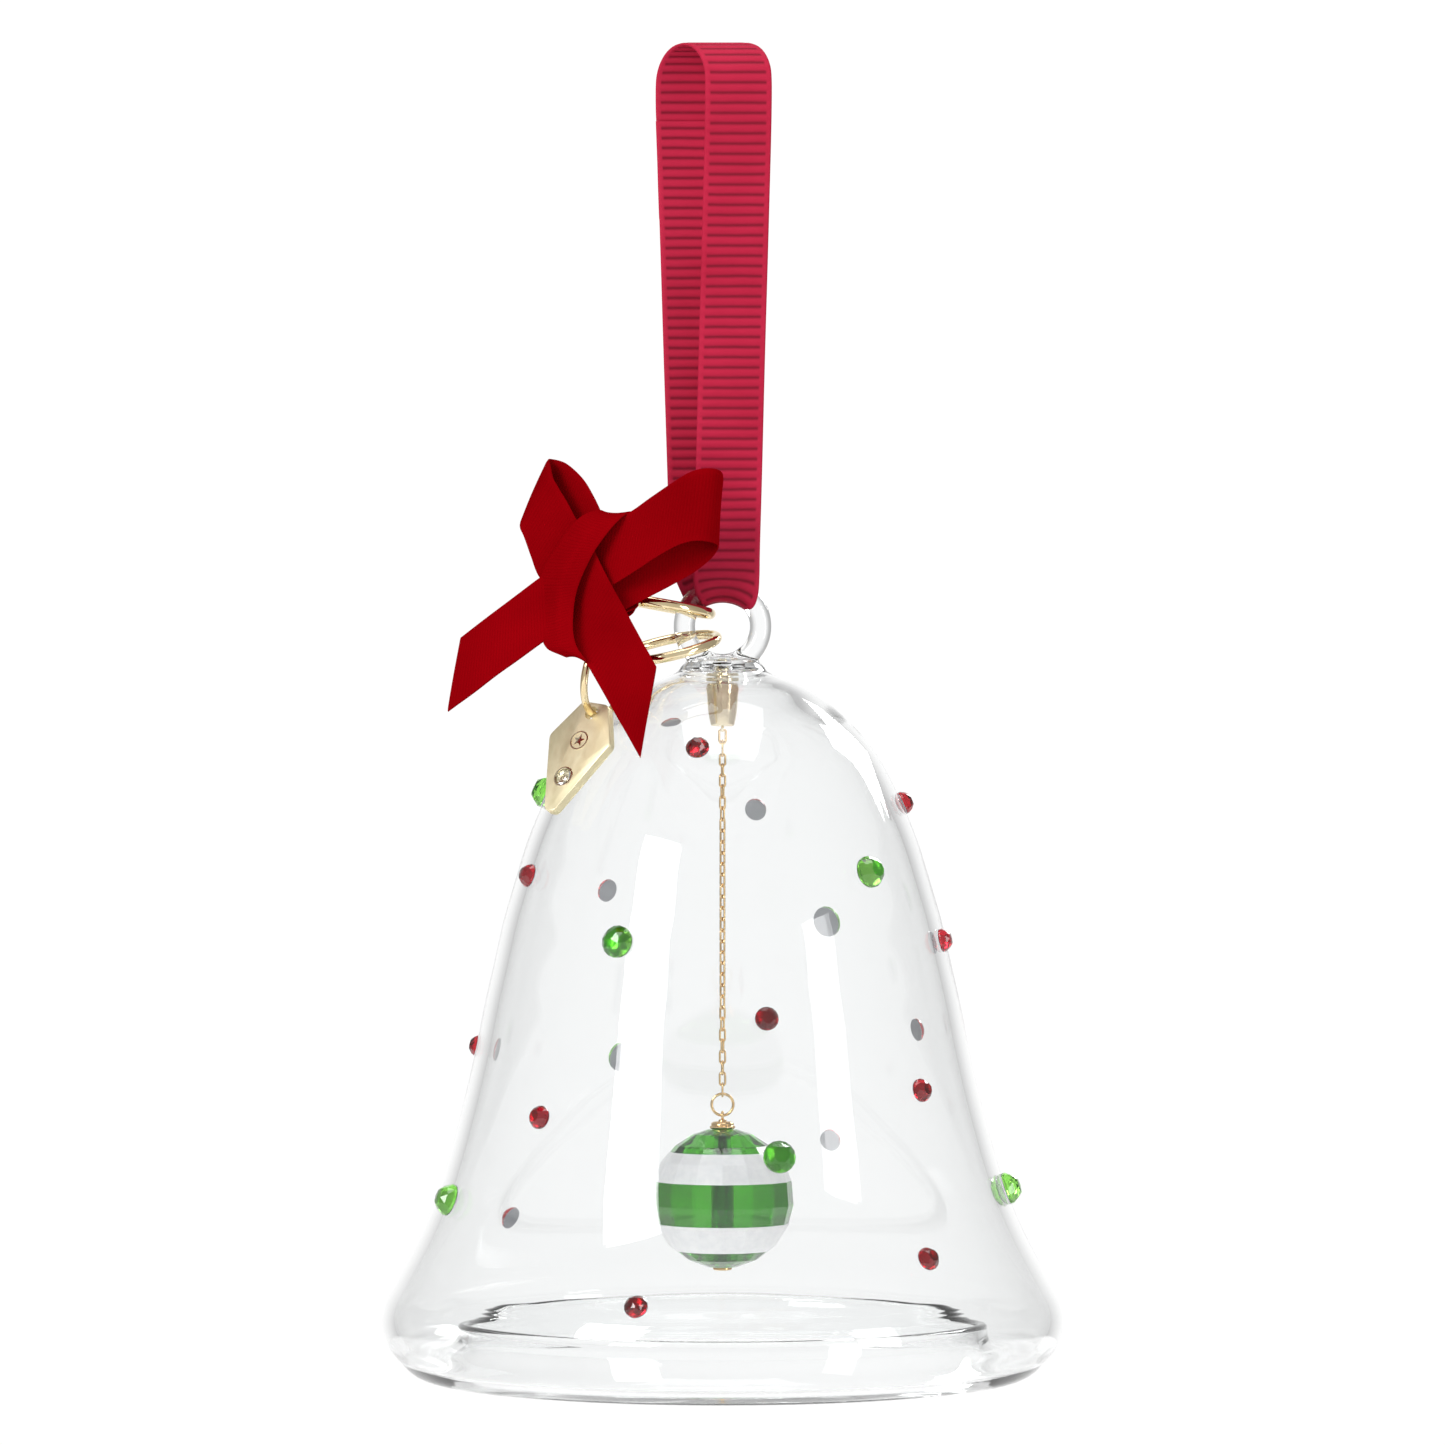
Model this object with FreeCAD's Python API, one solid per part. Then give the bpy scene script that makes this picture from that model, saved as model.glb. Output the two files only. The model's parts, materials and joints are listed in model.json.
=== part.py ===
import FreeCAD, Part
import math, os

os.makedirs("parts", exist_ok=True)
V = FreeCAD.Vector

# ---------------------------------------------------------------- driving sizes, mm
HANG_Z = 160.33        # height of the hang point above the bell's rim
WALL = 1.7             # glass wall
EYE_Z = 90.3           # centre of the glass eye above the rim
EYE_R = 4.6            # centre-line radius of the eye
EYE_TUBE = 1.3         # half the thickness of the eye's glass
RIBBON_T = 0.34        # hanging ribbon's thickness
RIBBON_W = 8.0         # hanging ribbon's width
SADDLE_HALF = 1.7      # half of the ribbon's width where it is gathered in the eye
SADDLE_GAP = 0.12
STRAND_TOP_Y = 4.5     # half of the loop's depth at its top
RED_R, RED_H = 1.4, 1.25
GREEN_R, GREEN_H = 1.92, 1.75
FOIL_T = 0.08
FOIL_GAP = 0.06
BALL_R = 8.6
BALL_Z = 21.1
BALL_BORE = 0.80
PIN_R = 0.50
BAND_T = 0.06
LINKS = 32
LINK_WIRE = 0.13
LINK_HALF_W = 0.33
LINK_GAP = 0.02
RING_R = 6.0           # centre-line radius of the bow's ring
TAG_T = 1.2

# half section of the bell's outside, (radius, height above the rim)
OUTSIDE = [
    (5.02, 85.4), (5.4, 84.85), (6.7, 84.3), (8.6, 83.6), (10.1, 82.9), (12.4, 81.4),
    (15.1, 79.0), (17.3, 76.6), (19.0, 74.2), (21.5, 69.3), (23.5, 64.5), (25.0, 59.7),
    (26.4, 54.9), (27.5, 50.0), (28.6, 45.2), (29.55, 40.4), (30.6, 35.6), (31.8, 30.8),
    (33.15, 25.9), (34.75, 21.1), (36.9, 16.3), (39.5, 11.5), (40.8, 9.0), (41.2, 6.6),
    (40.6, 4.2), (38.7, 1.75), (37.4, 0.55), (35.9, 0.0), (34.0, 0.25), (32.0, 1.6), (30.8, 3.8),
    (30.45, 6.2),
]

# stones on the glass: (degrees round from the front, + towards the right; height above the rim)
RED_AT = [
    (-9.3, 75.6), (10.2, 44.2), (-42.6, 32.4), (40.1, 16.2), (-14.5, 11.5), (-67.0, 60.4),
    (49.2, 35.4), (75.5, 52.6), (94.0, 68.9), (-99.8, 39.4), (-148.0, 81.0), (168.8, 68.0),
    (-144.2, 58.0), (155.0, 26.5), (-131.1, 17.4), (120.7, 41.2),
]
GREEN_AT = [
    (44.2, 61.0), (-27.0, 53.0), (-69.2, 21.9), (11.6, 28.3), (-90.0, 70.2), (83.6, 22.7),
    (149.6, 54.1), (-154.8, 37.0),
]

# bow: outlines as (x, z, front y, back y)
BOW = {
    "bow_knot": [
        (-14.49, 103.81, -10.19, -7.19), (-11.51, 103.69, -10.21, -7.21), (-14.54, 99.74, -10.94, -7.94), (-16.6, 95.9, -12.0, -9.0),
        (-17.57, 92.05, -14.1, -11.1), (-21.2, 92.05, -14.2, -11.2), (-21.48, 95.66, -12.09, -9.09), (-17.23, 102.49, -10.43, -7.43),
    ],
    "bow_left_loop": [
        (-20.81, 110.31, -6.22, -2.29), (-18.75, 109.79, -7.07, -3.65), (-16.68, 107.82, -8.16, -5.25), (-14.86, 104.07, -9.46, -7.0),
        (-17.63, 102.67, -8.68, -5.53), (-21.83, 96.1, -8.66, -4.46), (-24.24, 102.4, -6.29, -1.51),
    ],
    "bow_right_loop": [
        (-10.9, 103.66, -11.45, -8.2), (-6.37, 106.99, -11.75, -7.8), (-3.99, 108.47, -11.91, -7.8), (-1.97, 109.01, -12.05, -7.8),
        (-0.54, 108.83, -12.14, -7.8), (0.0, 108.06, -12.18, -7.8), (-0.54, 99.84, -12.14, -7.8), (-0.77, 99.01, -12.13, -7.8),
        (-1.97, 97.58, -12.05, -7.97), (-6.01, 95.07, -12.1, -8.92), (-11.34, 92.24, -13.38, -10.96), (-14.6, 98.42, -11.2, -8.2),
        (-13.76, 99.37, -11.26, -8.2),
    ],
    "bow_left_tail": [
        (-21.96, 95.66, -10.54, -10.14), (-31.16, 88.75, -11.41, -11.01), (-32.49, 80.06, -15.12, -14.72), (-21.46, 88.22, -15.89, -15.49),
    ],
    "bow_right_tail": [
        (-14.78, 97.83, -9.79, -9.39), (-11.7, 92.0, -12.64, -12.24), (-7.85, 85.37, -17.65, -17.25), (-9.68, 74.56, -21.92, -21.52),
        (-16.11, 86.19, -17.34, -16.94), (-17.09, 88.34, -15.67, -15.27), (-17.04, 91.94, -12.69, -12.29), (-16.13, 95.66, -10.59, -10.19),
    ],
}


# the lower half of the bow's knot, which leans further out
KNOT_LOW = [
    (-17.57, 92.05, -14.1, -11.1), (-17.62, 88.46, -17.06, -14.06), (-16.64, 86.67, -18.66, -15.66),
    (-20.14, 87.38, -18.07, -15.07), (-20.99, 88.34, -17.17, -14.17), (-21.2, 92.05, -14.2, -11.2),
]


# ---------------------------------------------------------------- helpers
def save(name, shape):
    shape = shape.copy()
    shape.translate(V(0, 0, -HANG_Z))
    shape.exportStep("parts/%s.step" % name)
    box = shape.BoundBox
    print(name, "solids", len(shape.Solids), "valid", shape.isValid(), "vol %.2f" % shape.Volume,
          "x %.1f..%.1f y %.1f..%.1f z %.1f..%.1f" % (box.XMin, box.XMax, box.YMin, box.YMax, box.ZMin, box.ZMax))


def solid_of(faces):
    shell = Part.makeShell(faces)
    body = Part.makeSolid(shell)
    if body.Volume < 0:
        body.reverse()
    return body


def polygon(points):
    points = list(points) + [points[0]]
    return Part.Face(Part.makePolygon(points))


def torus(centre, normal, major, minor):
    return Part.makeTorus(major, minor, V(*centre), V(*normal))


def slab(outline):
    """A closed slab over an outline in x and z, with its own front and back depth at each corner."""
    n = len(outline)
    cx, cz = sum(p[0] for p in outline) / n, sum(p[1] for p in outline) / n
    cf, cb = sum(p[2] for p in outline) / n, sum(p[3] for p in outline) / n
    front = [V(p[0], p[2], p[1]) for p in outline]
    back = [V(p[0], p[3], p[1]) for p in outline]
    mid_f, mid_b = V(cx, cf, cz), V(cx, cb, cz)
    faces = []
    for i in range(n):
        j = (i + 1) % n
        faces += [polygon([front[i], front[j], mid_f]), polygon([back[j], back[i], mid_b]),
                  polygon([front[i], back[i], front[j]]), polygon([front[j], back[i], back[j]])]
    return solid_of(faces)


def rings_solid(rings):
    """A closed solid through rings of points that lie in parallel planes, all with the same count."""
    n = len(rings[0])
    faces = [polygon(rings[0]), polygon(rings[-1])]
    for low, high in zip(rings, rings[1:]):
        for i in range(n):
            j = (i + 1) % n
            faces.append(polygon([low[i], low[j], high[j], high[i]]))
    return solid_of(faces)


def circle(radius, height, sides, turn=0.0):
    return [V(radius * math.cos(math.radians(turn + 360.0 * i / sides)),
              radius * math.sin(math.radians(turn + 360.0 * i / sides)), height) for i in range(sides)]


def place(shape, origin, normal):
    shape = shape.copy()
    shape.Placement = FreeCAD.Placement(V(*origin), FreeCAD.Rotation(V(0, 0, 1), V(*normal)))
    return shape


def oval_link(half_len, half_wid, wire):
    """An oval link in the XZ plane, on its centre: two half rings and two straight sides."""
    straight = half_len - half_wid
    top = Part.makeTorus(half_wid, wire, V(0, 0, straight), V(0, 1, 0))
    bottom = Part.makeTorus(half_wid, wire, V(0, 0, -straight), V(0, 1, 0))
    big = 4 * half_len
    upper = Part.makeBox(big, big, big, V(-big / 2, -big / 2, straight))
    lower = Part.makeBox(big, big, big, V(-big / 2, -big / 2, -straight - big))
    left = Part.makeCylinder(wire, 2 * straight, V(-half_wid, 0, -straight), V(0, 0, 1))
    right = Part.makeCylinder(wire, 2 * straight, V(half_wid, 0, -straight), V(0, 0, 1))
    return top.common(upper).fuse([bottom.common(lower), left, right]).removeSplitter()


# ---------------------------------------------------------------- glass bell
def inside_of(outside):
    """The outside moved in by the wall's thickness."""
    result = []
    for i in range(1, len(outside) - 1):
        (r0, z0), (r1, z1), (r2, z2) = outside[i - 1], outside[i], outside[i + 1]
        tr, tz = r2 - r0, z2 - z0
        size = math.hypot(tr, tz)
        result.append((r1 + tz / size * WALL, z1 - tr / size * WALL))
    return result


outer = [V(r, 0, z) for r, z in OUTSIDE]
inner = [p for p in inside_of(OUTSIDE) if p[1] < 79.5]
lip = [p for p in inner if p[0] < 34.5 and p[1] < 8]
inner = [p for p in inner if p not in lip]
inner = [(r, z) for r, z in inner if not (z < 3.0 and r < 38.0)]
roll = [(37.3, 2.35), (35.9, 1.75), (34.3, 2.0), (32.95, 3.0), (32.1, 4.4), (31.85, 6.2)]
inner_points = [V(0, 0, 83.0), V(3.0, 0, 82.9), V(6.6, 0, 82.2), (V(9.9, 0, 80.8))]
inner_points += [V(r, 0, z) for r, z in inner] + [V(r, 0, z) for r, z in roll]

neck_curve = Part.BSplineCurve()
neck_curve.interpolate([V(0, 0, 86.6), V(2.6, 0, 86.5), V(4.3, 0, 86.1), outer[0]])
outer_curve = Part.BSplineCurve()
outer_curve.interpolate(outer)
inner_curve = Part.BSplineCurve()
inner_curve.interpolate(inner_points)
lip_arc = Part.Arc(outer[-1], V((30.45 + 31.85) / 2, 0, 6.95), inner_points[-1])
section = Part.Wire([neck_curve.toShape(), outer_curve.toShape(), lip_arc.toShape(), inner_curve.toShape(),
                     Part.makeLine(V(0, 0, 83.0), V(0, 0, 86.6))])
bell = Part.Face(section).revolve(V(0, 0, 0), V(0, 0, 1), 360)
if bell.Volume < 0:
    bell.reverse()
eye = torus((0, 0, EYE_Z), (0, 1, 0), EYE_R, EYE_TUBE)
socket = Part.makeCylinder(0.83, 2.0, V(0, 0, 82.5), V(0, 0, 1))
# the eye reaches down into the neck only; what would stand in the hollow below is cut away
eye = eye.cut(Part.makeBox(20, 20, 20, V(-10, -10, 64.2)))
bell = bell.fuse(eye).cut(socket).removeSplitter()
save("glass_bell", bell)

# outside of the bell as a fine line, for setting the stones on it
line = [(p.x, p.z) for p in outer_curve.discretize(1200)]


def on_glass(height):
    for (r0, z0), (r1, z1) in zip(line, line[1:]):
        if z1 <= height <= z0:
            t = (z0 - height) / (z0 - z1)
            size = math.hypot(r1 - r0, z1 - z0)
            return r0 + (r1 - r0) * t, (-(z1 - z0) / size, (r1 - r0) / size)
    raise ValueError(height)


# ---------------------------------------------------------------- stones and their foil backs
def stone(radius, height):
    girdle = 0.22 * height
    return rings_solid([circle(radius, 0, 12), circle(radius, girdle, 12),
                        circle(0.70 * radius, 0.66 * height, 12), circle(0.34 * radius, height, 12)])


foils = []


def set_stones(name, where, radius, height):
    placed = []
    for degrees, z in where:
        r, (nr, nz) = on_glass(z)
        a = math.radians(degrees)
        x, y = math.sin(a), -math.cos(a)
        normal = (x * nr, y * nr, nz)
        foot = (x * r + normal[0] * FOIL_GAP, y * r + normal[1] * FOIL_GAP, z + normal[2] * FOIL_GAP)
        foils.append(place(Part.makeCylinder(radius * 0.985, FOIL_T), foot, normal))
        seat = tuple(f + n * (FOIL_T + 0.01) for f, n in zip(foot, normal))
        placed.append(place(stone(radius, height), seat, normal))
    save(name, Part.makeCompound(placed))


set_stones("red_stones", RED_AT, RED_R, RED_H)
set_stones("green_stones", GREEN_AT, GREEN_R, GREEN_H)
save("stone_foils", Part.makeCompound(foils))

# ---------------------------------------------------------------- chain anchor, connector, chain
cup = Part.makeCone(1.36, 2.0, 4.1, V(0, 0, 78.68), V(0, 0, 1))
stem = Part.makeCylinder(0.80, 1.7, V(0, 0, 82.7), V(0, 0, 1))
anchor_eye = torus((0, 0, 78.12), (1, 0, 0), 0.46, 0.17)
save("chain_anchor", cup.fuse([stem, anchor_eye]).removeSplitter())

anchor_wire_z = 78.12 - 0.46
conn_half, conn_wid, conn_wire = 1.0, 0.40, 0.16
conn_z = anchor_wire_z + 0.17 + conn_wire + LINK_GAP - conn_half
connector = oval_link(conn_half, conn_wid, conn_wire)
connector.translate(V(0, 0, conn_z))
save("connector_link", connector)

drop_ring_r, drop_ring_wire = 1.3, 0.17
drop_ring_z = 32.5
first_top = conn_z - conn_half + conn_wire + LINK_WIRE + LINK_GAP
last_bottom = drop_ring_z + drop_ring_r - drop_ring_wire - LINK_WIRE - LINK_GAP
# pitch p and half length a: a = p / 2 + wire + gap / 2, and the first and last links reach the given heights
pitch = (first_top - last_bottom - 2 * LINK_WIRE - LINK_GAP) / LINKS
half = pitch / 2 + LINK_WIRE + LINK_GAP / 2
link = oval_link(half, LINK_HALF_W, LINK_WIRE)
links = []
for k in range(LINKS):
    twist = min(45.0, 5.6 * k) if k < LINKS - 9 else 45.0 + 45.0 * (k - (LINKS - 10)) / 9.0
    one = link.copy()
    one.rotate(V(0, 0, 0), V(0, 0, 1), 90.0 + 90.0 * k + twist)
    one.translate(V(0, 0, first_top - half - pitch * k))
    links.append(one)
upper_count = 16
save("chain_upper", Part.makeCompound(links[:upper_count]))
save("chain_lower", Part.makeCompound(links[upper_count:]))

# ---------------------------------------------------------------- ball on its pin
save("drop_ring", torus((0, 0, drop_ring_z), (0, 1, 0), drop_ring_r, drop_ring_wire))
ring_low = drop_ring_z - drop_ring_r
eye_wire, eye_major = 0.18, 0.45
pin_eye_z = ring_low + drop_ring_wire + eye_wire + LINK_GAP - eye_major
ball_top, ball_low = BALL_Z + 8.42, BALL_Z - 8.42
head_z = ball_low - 0.02
pin = Part.makeCylinder(PIN_R, pin_eye_z - eye_major - (head_z - 0.35), V(0, 0, head_z - 0.35), V(0, 0, 1))
head = Part.makeCylinder(1.15, 0.4, V(0, 0, head_z - 0.4), V(0, 0, 1))
head = head.makeFillet(0.12, [e for e in head.Edges if e.BoundBox.ZMax < head_z - 0.3])
save("drop_pin", pin.fuse([head, torus((0, 0, pin_eye_z), (1, 0, 0), eye_major, eye_wire)]).removeSplitter())

cap = Part.makeCylinder(1.55, 0.95, V(0, 0, ball_top + 0.03), V(0, 0, 1))
cap = cap.makeFillet(0.5, [e for e in cap.Edges if e.BoundBox.ZMin > ball_top + 0.9])
save("drop_cap", cap.cut(Part.makeCylinder(PIN_R + 0.04, 3, V(0, 0, ball_top - 1), V(0, 0, 1))))

LEVELS = [-8.42, -7.45, -5.75, -3.4, -0.75, 2.0, 4.5, 6.5, 7.85, 8.42]


def faceted(extra):
    rings = []
    for level in LEVELS:
        r = math.sqrt(max(BALL_R ** 2 - level ** 2, 0.0))
        if abs(level) > 8.4:
            r = 1.75
        k = 1 + extra / BALL_R
        rings.append([V(p.x, p.y, p.z) for p in circle(r * k, BALL_Z + level * k, 16)])
    return rings_solid(rings)


ball = faceted(0).cut(Part.makeCylinder(BALL_BORE, 30, V(0, 0, BALL_Z - 15), V(0, 0, 1)))
save("crystal_ball", ball)
skin = faceted(BAND_T + 0.01).cut(faceted(0.01))
bands = []
for low, high in ((-6.36, -3.05), (2.2, 5.73)):
    bands.append(skin.common(Part.makeBox(30, 30, high - low, V(-15, -15, BALL_Z + low))))
save("white_bands", Part.makeCompound([s for b in bands for s in b.Solids]))

# ---------------------------------------------------------------- rings through the eye
bow_tilt = math.radians(10.4)
bow_centre = (-7.4, -1.0, 92.88)
bow_normal = (math.sin(bow_tilt), 0, math.cos(bow_tilt))
save("bow_ring", torus(bow_centre, bow_normal, RING_R, 0.70))

carrier_tilt = math.radians(12.5)
u = V(math.cos(carrier_tilt), 0, math.sin(carrier_tilt))
v = V(0, -0.983, -0.181)
w = u.cross(v)
carrier_centre = (-6.57, -3.173, 87.615)
save("tag_carrier_ring", torus(carrier_centre, (w.x, w.y, w.z), 6.05, 0.60))

# ---------------------------------------------------------------- tag and its ring
tag_top = V(-15.13, -9.68, 81.047)
down = V(-0.377, -0.301, -0.876)
down.normalize()
side = V(0.777, -0.617, -0.122)
side = side - down * side.dot(down)
side.normalize()
face = down.cross(side)
face.normalize()
if face.y > 0:
    face = face * -1
save("tag_ring", torus((-13.749, -9.115, 84.772), (0.869, -0.446, -0.215), 5.434, 0.45))


def on_tag(across, along, out):
    return tag_top + side * across + down * along + face * out


outline = [(-1.9, 0), (1.9, 0), (4.7, 5.0), (0.7, 14.55), (-0.7, 14.55), (-4.7, 5.0)]
plate = polygon([on_tag(a, b, -TAG_T) for a, b in outline]).extrude(face * TAG_T)
if plate.Volume < 0:
    plate.reverse()
hole_at = on_tag(0, 1.35, -TAG_T - 1)
plate = plate.cut(Part.makeCylinder(0.85, 4, hole_at, face))
seat_at = on_tag(0, 10.0, -0.55)
plate = plate.cut(Part.makeCylinder(1.07, 2, seat_at, face))
# round badge with a five-pointed star, standing 0.08 mm out of the plate
badge_at = on_tag(0, 5.1, -0.02)
badge = Part.makeCylinder(1.25, 0.10, badge_at, face).cut(Part.makeCylinder(1.05, 0.4, badge_at, face))
star = []
for i in range(10):
    r = 0.85 if i % 2 == 0 else 0.36
    a = math.radians(36.0 * i)
    star.append(on_tag(r * math.sin(a), 5.1 - r * math.cos(a), -0.02))
star = polygon(star).extrude(face * 0.10)
save("tag_plate", plate.fuse([badge, star]).removeSplitter())
gem = rings_solid([circle(1.05, 0, 12), circle(1.05, 0.45, 12), circle(0.62, 0.80, 12)])
gem.Placement = FreeCAD.Placement(on_tag(0, 10.0, -0.54), FreeCAD.Rotation(V(0, 0, 1), face))
save("tag_stone", gem)

# ---------------------------------------------------------------- bow
attach = math.radians(45)
ring_u = V(math.cos(bow_tilt), 0, -math.sin(bow_tilt))
ring_v = V(0, -1, 0)
at = V(*bow_centre) + (ring_u * -math.cos(attach) + ring_v * math.sin(attach)) * RING_R
tangent = ring_u * math.sin(attach) + ring_v * math.cos(attach)
tangent.normalize()
for name, points in BOW.items():
    body = slab(points)
    if name == "bow_knot":
        # the tie's back: a sleeve round the ring and a short neck to the knot
        sleeve = Part.makeCylinder(1.25, 3.0, at - tangent * 1.5, tangent)
        strap = Part.makeBox(6.2, 3.4, 2.2, V(-17.6, -9.2, 93.0))
        root = Part.makeBox(2.2, 3.6, 2.2, V(-19.6, -10.4, 93.0))
        body = body.fuse([slab(KNOT_LOW), sleeve, strap, root]).cut(torus(bow_centre, bow_normal, RING_R, 0.76)).removeSplitter()
    save(name, body)

# ---------------------------------------------------------------- hanging ribbon
inner_r = EYE_TUBE + SADDLE_GAP
outer_r = inner_r + RIBBON_T
theta = math.degrees(math.asin(SADDLE_HALF / EYE_R))
# half ring under the top of the eye, swept along the eye's own curve
profile = Part.Wire([
    Part.Arc(V(0, -inner_r, EYE_Z + EYE_R), V(0, 0, EYE_Z + EYE_R - inner_r), V(0, inner_r, EYE_Z + EYE_R)).toShape(),
    Part.makeLine(V(0, inner_r, EYE_Z + EYE_R), V(0, outer_r, EYE_Z + EYE_R)),
    Part.Arc(V(0, outer_r, EYE_Z + EYE_R), V(0, 0, EYE_Z + EYE_R - outer_r), V(0, -outer_r, EYE_Z + EYE_R)).toShape(),
    Part.makeLine(V(0, -outer_r, EYE_Z + EYE_R), V(0, -inner_r, EYE_Z + EYE_R)),
])
saddle_face = Part.Face(profile)
saddle_face.rotate(V(0, 0, EYE_Z), V(0, 1, 0), -theta)
saddle = saddle_face.revolve(V(0, 0, EYE_Z), V(0, 1, 0), 2 * theta)


def plate_xz(points, y_low, y_high):
    return polygon([V(x, y_low, z) for x, z in points]).extrude(V(0, y_high - y_low, 0))


corner_z = EYE_Z + math.sqrt(EYE_R ** 2 - SADDLE_HALF ** 2)
blank = Part.makeCylinder(EYE_R, 20, V(0, -10, EYE_Z), V(0, 1, 0))
front_mid, back_mid = 0.5, -2.4
front = plate_xz([(-SADDLE_HALF, corner_z - 0.3), (SADDLE_HALF, corner_z - 0.3), (SADDLE_HALF, 96.5), (front_mid + 4, 99.0),
                  (front_mid - 4, 99.0), (-SADDLE_HALF, 96.5)], -outer_r, -inner_r).cut(blank)
back = plate_xz([(-SADDLE_HALF, corner_z - 0.3), (SADDLE_HALF, corner_z - 0.3), (SADDLE_HALF, 96.5), (back_mid + 4, 99.0),
                 (back_mid - 4, 99.0), (-SADDLE_HALF, 96.5)], inner_r, outer_r).cut(blank)

# the strands and the fold over the top: middle line as (x, y, z)
mid_r = (inner_r + outer_r) / 2
path = [(front_mid, -mid_r, 99.0), (0.75, -1.75, 108.0), (1.1, -2.6, 122.0), (1.55, -3.7, 138.0), (1.9, -STRAND_TOP_Y, 152.0)]
fold_z = HANG_Z + RIBBON_T / 2 - STRAND_TOP_Y
for i in range(0, 13):
    a = math.pi * i / 12
    path.append((1.9 + (-4.1 - 1.9) * (1 - math.cos(a)) / 2, -STRAND_TOP_Y * math.cos(a), fold_z + STRAND_TOP_Y * math.sin(a)))
path += [(-4.1, STRAND_TOP_Y, 152.0), (-3.6, 3.7, 138.0), (-3.1, 2.6, 122.0), (-2.65, 1.75, 108.0), (back_mid, mid_r, 99.0)]


def strip(path, width, thick, ends=None):
    rings = []
    for i, (x, y, z) in enumerate(path):
        (_, y0, z0), (_, y1, z1) = path[max(i - 1, 0)], path[min(i + 1, len(path) - 1)]
        ty, tz = y1 - y0, z1 - z0
        if ends and i in (0, len(path) - 1):
            ty, tz = ends[0] if i == 0 else ends[1]
        size = math.hypot(ty, tz)
        ny, nz = -tz / size * thick / 2, ty / size * thick / 2
        rings.append([V(x - width / 2, y + ny, z + nz), V(x + width / 2, y + ny, z + nz),
                      V(x + width / 2, y - ny, z - nz), V(x - width / 2, y - ny, z - nz)])
    faces = [polygon(rings[0]), polygon(rings[-1])]
    for a, b in zip(rings, rings[1:]):
        for i in range(4):
            j = (i + 1) % 4
            faces += [polygon([a[i], a[j], b[j]]), polygon([a[i], b[j], b[i]])]
    return solid_of(faces)


loop = strip(path, RIBBON_W, RIBBON_T, ends=((0, 1), (0, -1)))
ribbon = saddle.fuse([front, back, loop])
save("hanging_ribbon", ribbon)
lap_path = [(x, y + 0.37, z) for x, y, z in ((-3.72, 3.86, 140.0), (-3.9, 4.2, 146.0), (-4.1, STRAND_TOP_Y, 152.0))]
save("ribbon_lap", strip(lap_path, RIBBON_W - 0.1, 0.30))
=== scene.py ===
import json
import math
import random

import bmesh
import bpy
import numpy as np
from mathutils import Matrix, Vector, noise


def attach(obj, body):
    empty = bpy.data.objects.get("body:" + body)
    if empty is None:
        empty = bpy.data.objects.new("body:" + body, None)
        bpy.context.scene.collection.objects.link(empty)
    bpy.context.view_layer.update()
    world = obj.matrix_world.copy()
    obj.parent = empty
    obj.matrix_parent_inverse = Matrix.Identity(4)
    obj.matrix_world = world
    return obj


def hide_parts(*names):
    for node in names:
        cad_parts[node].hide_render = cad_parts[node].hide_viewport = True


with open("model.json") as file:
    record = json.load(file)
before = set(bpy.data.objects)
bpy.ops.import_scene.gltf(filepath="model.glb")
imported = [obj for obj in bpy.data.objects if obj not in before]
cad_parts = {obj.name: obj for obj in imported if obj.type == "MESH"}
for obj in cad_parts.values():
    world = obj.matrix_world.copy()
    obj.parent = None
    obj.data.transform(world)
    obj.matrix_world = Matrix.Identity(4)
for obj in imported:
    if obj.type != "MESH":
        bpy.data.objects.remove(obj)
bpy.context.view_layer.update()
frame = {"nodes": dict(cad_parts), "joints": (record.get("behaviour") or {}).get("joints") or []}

scene = bpy.context.scene
MM = 0.001
joints = {j["name"]: j for j in frame["joints"]}
# the eye's top bar is 94.9 mm above the rim, and the bell swings about it
RIM = joints["bell_swing"]["pos_m"][2] - 0.0949


def P(x, y, z):
    """A point given in millimetres, its height above the bell's rim, in the row frame in metres."""
    return Vector((x * MM, y * MM, RIM + z * MM))


def smooth(e0, e1, x):
    t = min(max((x - e0) / (e1 - e0), 0.0), 1.0)
    return t * t * (3 - 2 * t)


def catmull(points, steps):
    """Points along a smooth line through the given points."""
    pts = [Vector(p) for p in points]
    out = []
    for i in range(len(pts) - 1):
        p0 = pts[i - 1] if i else pts[0] * 2 - pts[1]
        p1, p2 = pts[i], pts[i + 1]
        p3 = pts[i + 2] if i + 2 < len(pts) else pts[-1] * 2 - pts[-2]
        t0 = 0.0
        t1 = t0 + max((p1 - p0).length, 1e-9) ** 0.5
        t2 = t1 + max((p2 - p1).length, 1e-9) ** 0.5
        t3 = t2 + max((p3 - p2).length, 1e-9) ** 0.5
        for k in range(steps):
            t = t1 + (t2 - t1) * k / steps
            a1 = p0 * ((t1 - t) / (t1 - t0)) + p1 * ((t - t0) / (t1 - t0))
            a2 = p1 * ((t2 - t) / (t2 - t1)) + p2 * ((t - t1) / (t2 - t1))
            a3 = p2 * ((t3 - t) / (t3 - t2)) + p3 * ((t - t2) / (t3 - t2))
            b1 = a1 * ((t2 - t) / (t2 - t0)) + a2 * ((t - t0) / (t2 - t0))
            b2 = a2 * ((t3 - t) / (t3 - t1)) + a3 * ((t - t1) / (t3 - t1))
            out.append(b1 * ((t2 - t) / (t2 - t1)) + b2 * ((t - t1) / (t2 - t1)))
    out.append(pts[-1].copy())
    return out


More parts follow.
